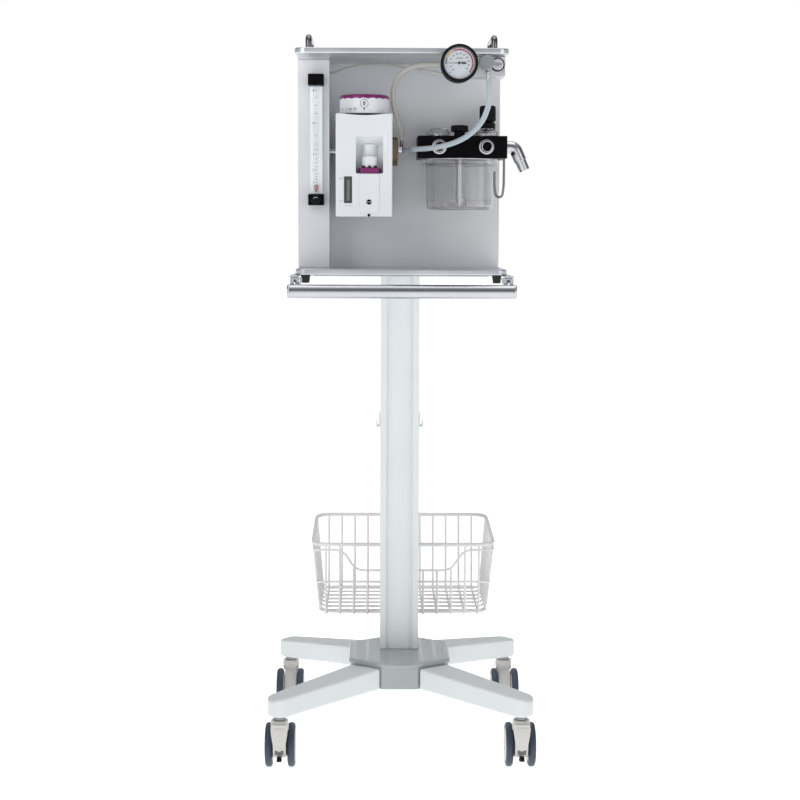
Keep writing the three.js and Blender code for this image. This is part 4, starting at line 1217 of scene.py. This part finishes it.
def makeReliefValve():
    foot = absorber["top"] + 0.3
    place = at(182, 58, 0)
    body = turnPiece("relief_body", [(15.6, foot), (16.4, foot + 1), (16.4, foot + 8), (15.6, foot + 9),
                                     (15.6, foot + 12), (16.4, foot + 13), (16.4, foot + 28.4),
                                     (13.4, foot + 31.6)], place, up, 64, 0.4)
    finishPiece(body, "machine", "black_plastic", "black_plastic", ["relief_valve_body"])
    hat = turnPiece("relief_cap", [(13.6, foot + 32.5), (16.9, foot + 35), (17.1, foot + 36),
                                   (17.1, foot + 61.6), (16, foot + 64.4), (13.6, foot + 65.9)], place, up,
                    160)
    ripple(hat, place, up, 20, 0.9, 16.2, 2)
    finishPiece(smooth(hat), "relief_knob", "black_plastic", "black_plastic", ["relief_valve_knob"])


elbow = {"y": 20, "z": 1240.3, "bendX": 236, "lean": 24.1}


def makeElbow():
    e = elbow
    lean = math.radians(e["lean"])
    down = Vector((math.sin(lean), 0, -math.cos(lean)))
    bend = at(e["bendX"], e["y"], e["z"])
    path = filletPath([at(217.4, e["y"], e["z"]), bend, bend + down * 0.030], 17, False, 12)
    pipe = makeWire("pipe", path, 13.1, False, 8)
    flange = turnPiece("flange", [(13.3, 0), (13.3, 6.4), (12.4, 7)], at(217.4, e["y"], e["z"]), right, 64,
                       0.4)
    lip = turnPiece("lip", [(12.4, 26.6), (13.1, 27.2), (13.1, 29.4), (12.2, 30), (11.6, 30.2), (11.1, 51.1),
                            (10.6, 51.5), (9, 51.4), (8.7, 50.8), (8.7, 24)], bend, down, 64, 0.2)
    hole = turnPiece("hole", [(8.6, 22), (8.6, 60)], bend, down, 48)
    cutAway(pipe, hole)
    whole = joinPieces("elbow_pipe", [smooth(pipe), flange, lip])
    finishPiece(whole, "elbow", "polished_steel", "polished_steel", ["outlet_elbow"])
    # a black disc closing the elbow's bore: painted shade for the dark depth inside the pipe
    elbowShadeDisc = turnPiece("elbow_shade_disc", [(8.5, 23), (8.5, 24)], bend, down, 40)
    finishPiece(elbowShadeDisc, "elbow", "black_plastic", "black_plastic")


def makeBagHook():
    route = [(211.2, -20, 1215.6), (211.2, -20, 1160), (208.4, -20, 1140), (201.5, -20, 1136.4),
             (194.6, -20, 1141), (191.9, -20, 1160), (191.9, -20, 1190)]
    points = filletPath([at(*point) for point in route], 9, False, 6)
    hook = makeWire("hook_wire", points, 2.5, False, 5)
    finishPiece(hook, "machine", "dark_chrome", "chrome", ["bag_hook"])


makeAbsorberBlock()
makeValveDomes()
makeCanister()
makeTightener()
makeReliefValve()
makeElbow()
makeBagHook()
print("absorber made")


# ---- gas control ----
flush = {"x": 192, "z": 1400.2, "faceY": -80}
outlet = {"x": 168.3, "z": 1401.5}


def makeControls():
    body = makeBlock("control_body", at(96, -80, 1377), at(207.5, -5, 1416.1), 1.1, 3)
    hole = turnPiece("hole", [(11.9, 0), (11.9, 18)], at(flush["x"], flush["faceY"] - 3, flush["z"]), back,
                     64)
    cutAway(body, hole)
    finishPiece(smooth(body), "machine", "block_aluminium", "satin_aluminium", ["control_block"])
    place = at(flush["x"], flush["faceY"] + 0.5, flush["z"])
    ring = turnPiece("flush_ring", [(13.8, 0), (13.8, 4), (13.2, 4.5), (12.2, 4.5), (11.9, 4), (11.9, 0)],
                     place, front, 72, hollow=True)
    finishPiece(ring, "machine", "black_plastic", "black_plastic")
    cap = turnPiece("flush_cap", [(11.3, -6), (11.3, 7.6), (10.4, 8.9)], at(flush["x"], flush["faceY"],
                                                                            flush["z"]), front, 64, 0.4)
    finishPiece(cap, "button", "block_aluminium", "polished_steel", ["flush_button"])
    words = makeText("flush_words", "O2+", 8, at(flush["x"], flush["faceY"] - 8.98, flush["z"]), weight=0.22)
    finishPiece(words, "button", "ink")
    neck = turnPiece("outlet_neck", [(8, 0), (8, 31)], at(outlet["x"], -80, outlet["z"]), front, 40)
    finishPiece(neck, "machine", "matt_steel", "satin_aluminium")
    disc = turnPiece("outlet_disc", [(14, 30), (15, 31), (15, 41), (14.2, 42)],
                     at(outlet["x"], -80, outlet["z"]), front, 72, 0.4)
    finishPiece(disc, "machine", "matt_steel", "satin_aluminium")
    start = at(outlet["x"] + 0.5, -115, outlet["z"] - 11)
    along = at(outlet["x"] + 3, -115, outlet["z"] - 31) - start
    barb = turnPiece("outlet_barb", [(4.4, 0), (4.4, 6), (3.4, 6.6), (4, 8), (3.2, 11), (4, 12.4),
                                     (3.2, 15.4), (4, 16.6), (3.2, 20)], start, along, 36)
    finishPiece(barb, "machine", "chrome", "chrome")


gauge = {"x": 110.2, "z": 1392.9, "front": -197, "back": -134.8, "face": -190.5, "arcInner": 24.6,
         "arcOuter": 27.4, "figures": 18, "tickEnd": 24.2, "ticks": 50, "firstTick": 225, "tickPitch": 5.4}


def ringSector(name, inner, outer, fromAngle, toAngle, lowY, highY):
    # angles run anticlockwise from the right, as seen from the front
    steps = max(3, int(abs(toAngle - fromAngle) / 5))
    angles = [math.radians(fromAngle + (toAngle - fromAngle) * step / steps) for step in range(steps + 1)]
    outline = [(gauge["x"] + outer * math.cos(a), gauge["z"] + outer * math.sin(a)) for a in angles]
    outline += [(gauge["x"] + inner * math.cos(a),
                 gauge["z"] + inner * math.sin(a)) for a in reversed(angles)]
    return pushOutline(name, outline, "y", lowY, highY)


def makeGauge():
    g = gauge
    place = at(g["x"], 0, g["z"])
    can = turnPiece("gauge_can", [(28, g["back"]), (31, g["back"] - 0.4), (35, g["back"] - 4),
                                  (35, g["front"] + 13)], place, back, 96, 0.4)
    finishPiece(can, "machine", "gauge_case", "gauge_case", ["pressure_gauge"])
    rim = turnPiece("gauge_bezel", [(33.2, g["front"] + 14), (35.6, g["front"] + 14),
                                    (36.8, g["front"] + 12.6), (36.8, g["front"] + 2.4),
                                    (35.8, g["front"] + 0.5), (34, g["front"]), (31, g["front"] + 0.9),
                                    (29.6, g["front"] + 6.6)], place, back, 288, hollow=True)
    ripple(rim, place, back, 72, 0.5, 36.3, 1)
    finishPiece(smooth(rim), "machine", "gauge_case", "gauge_case")
    lining = turnPiece("gauge_lining", [(30.8, g["front"] + 1.6), (30.8, g["face"]), (28.4, g["face"]),
                                        (29.6, g["front"] + 1.6)], place, back, 96, hollow=True)
    finishPiece(lining, "machine", "chrome", "chrome")
    face = turnPiece("gauge_face", [(30.4, g["face"] + 0.5), (30.4, g["face"])], place, back, 96)
    finishPiece(face, "machine", "gauge_face", "gauge_case")
    glass = turnPiece("gauge_window", [(30, g["front"] + 3), (30, g["front"] + 2)], place, back, 96)
    finishPiece(glass, "machine", "gauge_glass", "clear_plastic")
    stem = turnPiece("gauge_stem", [(7, -134.6), (7, -124), (9.4, -123), (9.4, -110), (7, -109), (7, -80.4)],
                     place, back, 36, 0.4)
    finishPiece(stem, "machine", "bracket_steel", "bracket_steel")
    for finish, start, end in (("greenInk", 184, 160), ("yellowInk", 160, 115), ("redInk", 115, -42)):
        arc = ringSector(f"gauge_arc_{finish}", g["arcInner"], g["arcOuter"], start, end, g["face"] - 0.16,
                         g["face"] - 0.02)
        finishPiece(arc, "machine", finish)
    makeGaugeScale()
    makeNeedle()


def makeGaugeScale():
    g = gauge
    centre = at(g["x"], 0, g["z"])
    marks = []
    for step in range(g["ticks"]):
        angle = g["firstTick"] - step * g["tickPitch"]
        length = 3.0 if step % 5 == 0 else 1.6
        tickEnd = g["x"] + g["tickEnd"]
        tick = makeBlock("tick", at(tickEnd - length, g["face"] - 0.14, g["z"] - 0.16),
                         at(tickEnd, g["face"] - 0.02, g["z"] + 0.16), 0)
        turn = Matrix.Translation(centre) @ Matrix.Rotation(math.radians(-angle), 4, 'Y')
        marks.append(moveMesh(tick, turn @ Matrix.Translation(-centre)))
    figures = [("-20", 225), ("-10", 202), ("0", 180), ("10", 155), ("20", 131), ("30", 107), ("40", 84),
               ("50", 60), ("60", 36), ("70", 12), ("80", -12), ("90", -36)]
    for words, angle in figures:
        x = g["x"] + g["figures"] * math.cos(math.radians(angle))
        z = g["z"] + g["figures"] * math.sin(math.radians(angle))
        marks.append(makeText("figure", words, 4, at(x, g["face"] - 0.1, z), weight=0.1))
    marks.append(makeText("unit", "cmH2O", 3.8, at(g["x"], g["face"] - 0.1, g["z"] + 9.5), weight=0.1))
    stopLow = at(g["x"] - 19, g["face"] - 0.6, g["z"] - 19)
    marks.append(makeBlock("stop", stopLow, at(g["x"] - 17.6, g["face"], g["z"] - 17.6), 0))
    finishPiece(joinPieces("gauge_marks", marks), "machine", "ink")


def makeNeedle():
    g = gauge
    outline = [(-22.4, -0.25), (-2, -0.7), (4, -0.9), (6, -2), (10.5, -2.2), (13.6, -0.9), (13.6, 0.9),
               (10.5, 2.2), (6, 2), (4, 0.9), (-2, 0.7), (-22.4, 0.25)]
    outline = [(g["x"] + x, g["z"] + z) for x, z in outline]
    pointer = pushOutline("pointer", outline, "y", g["face"] - 2.2, g["face"] - 1.6)
    boss = turnPiece("boss", [(2.8, 0.4), (2.8, 2.4), (2.2, 2.9)], at(g["x"], g["face"], g["z"]), front, 36,
                     0.2)
    needle = joinPieces("gauge_pointer", [pointer, boss])
    finishPiece(needle, "needle", "needle_paint", "needle_paint", ["gauge_needle"])


makeControls()
makeGauge()
print("gas control made")


# ---- studio ----
studio = {"floor": 80, "floorGlow": 0.8, "world": 1.0}


def addLight(name, place, target, size, power, colour=(1, 1, 1)):
    deselectAll()
    bpy.ops.object.light_add(type='AREA', location=place)
    light = bpy.context.object
    light.name = name
    light.data.shape = 'RECTANGLE'
    light.data.size, light.data.size_y = size
    light.data.energy = power
    light.data.color = colour
    light.rotation_euler = (Vector(target) - Vector(place)).to_track_quat('-Z', 'Y').to_euler()
    light.visible_camera = False
    return light


def makeStudio():
    deselectAll()
    bpy.ops.mesh.primitive_plane_add(size=studio["floor"], location=(0, 0, -0.0005))
    floor = bpy.context.object
    floor.name = "studio_floor"
    material = bpy.data.materials.new("studioFloor")
    material.use_nodes = True
    shader = material.node_tree.nodes["Principled BSDF"]
    shader.inputs["Base Color"].default_value = (0.93, 0.93, 0.93, 1)
    shader.inputs["Roughness"].default_value = 0.2
    shader.inputs["Emission Color"].default_value = (1, 1, 1, 1)
    shader.inputs["Emission Strength"].default_value = studio["floorGlow"]
    floor.data.materials.append(material)
    world = bpy.data.worlds.new("studioWorld")
    bpy.context.scene.world = world
    world.use_nodes = True
    nodes, links = world.node_tree.nodes, world.node_tree.links
    background = nodes["Background"]
    coordinates = nodes.new('ShaderNodeTexCoord')
    split = nodes.new('ShaderNodeSeparateXYZ')
    links.new(coordinates.outputs["Generated"], split.inputs[0])
    height = nodes.new('ShaderNodeValToRGB')
    height.color_ramp.elements[0].position = 0.0
    height.color_ramp.elements[0].color = (0.62, 0.63, 0.64, 1)
    height.color_ramp.elements[1].position = 0.9
    height.color_ramp.elements[1].color = (0.5, 0.51, 0.53, 1)
    for position, shade in ((0.16, 0.34), (0.4, 0.12), (0.6, 0.16)):
        stop = height.color_ramp.elements.new(position)
        stop.color = (shade, shade * 1.01, shade * 1.04, 1)
    links.new(split.outputs["Z"], height.inputs[0])
    path = nodes.new('ShaderNodeLightPath')
    mix = nodes.new('ShaderNodeMix')
    mix.data_type = 'RGBA'
    mix.inputs[7].default_value = (1, 1, 1, 1)
    links.new(path.outputs["Is Camera Ray"], mix.inputs[0])
    links.new(height.outputs["Color"], mix.inputs[6])
    links.new(mix.outputs[2], background.inputs["Color"])
    background.inputs["Strength"].default_value = studio["world"]
    middle = (0, 0, 0.85)
    addLight("keyLight", (-2.2, -3.0, 2.6), middle, (1.6, 2.4), 33)
    addLight("fillLight", (2.6, -2.6, 1.6), middle, (1.4, 2.6), 16)
    addLight("topLight", (0, 0.2, 3.4), middle, (2.4, 2.4), 22)
    addLight("backLight", (0.5, 3.0, 2.0), middle, (3.0, 2.0), 10)
    bpy.context.scene.view_settings.view_transform = 'Standard'


makeStudio()
print("studio made")
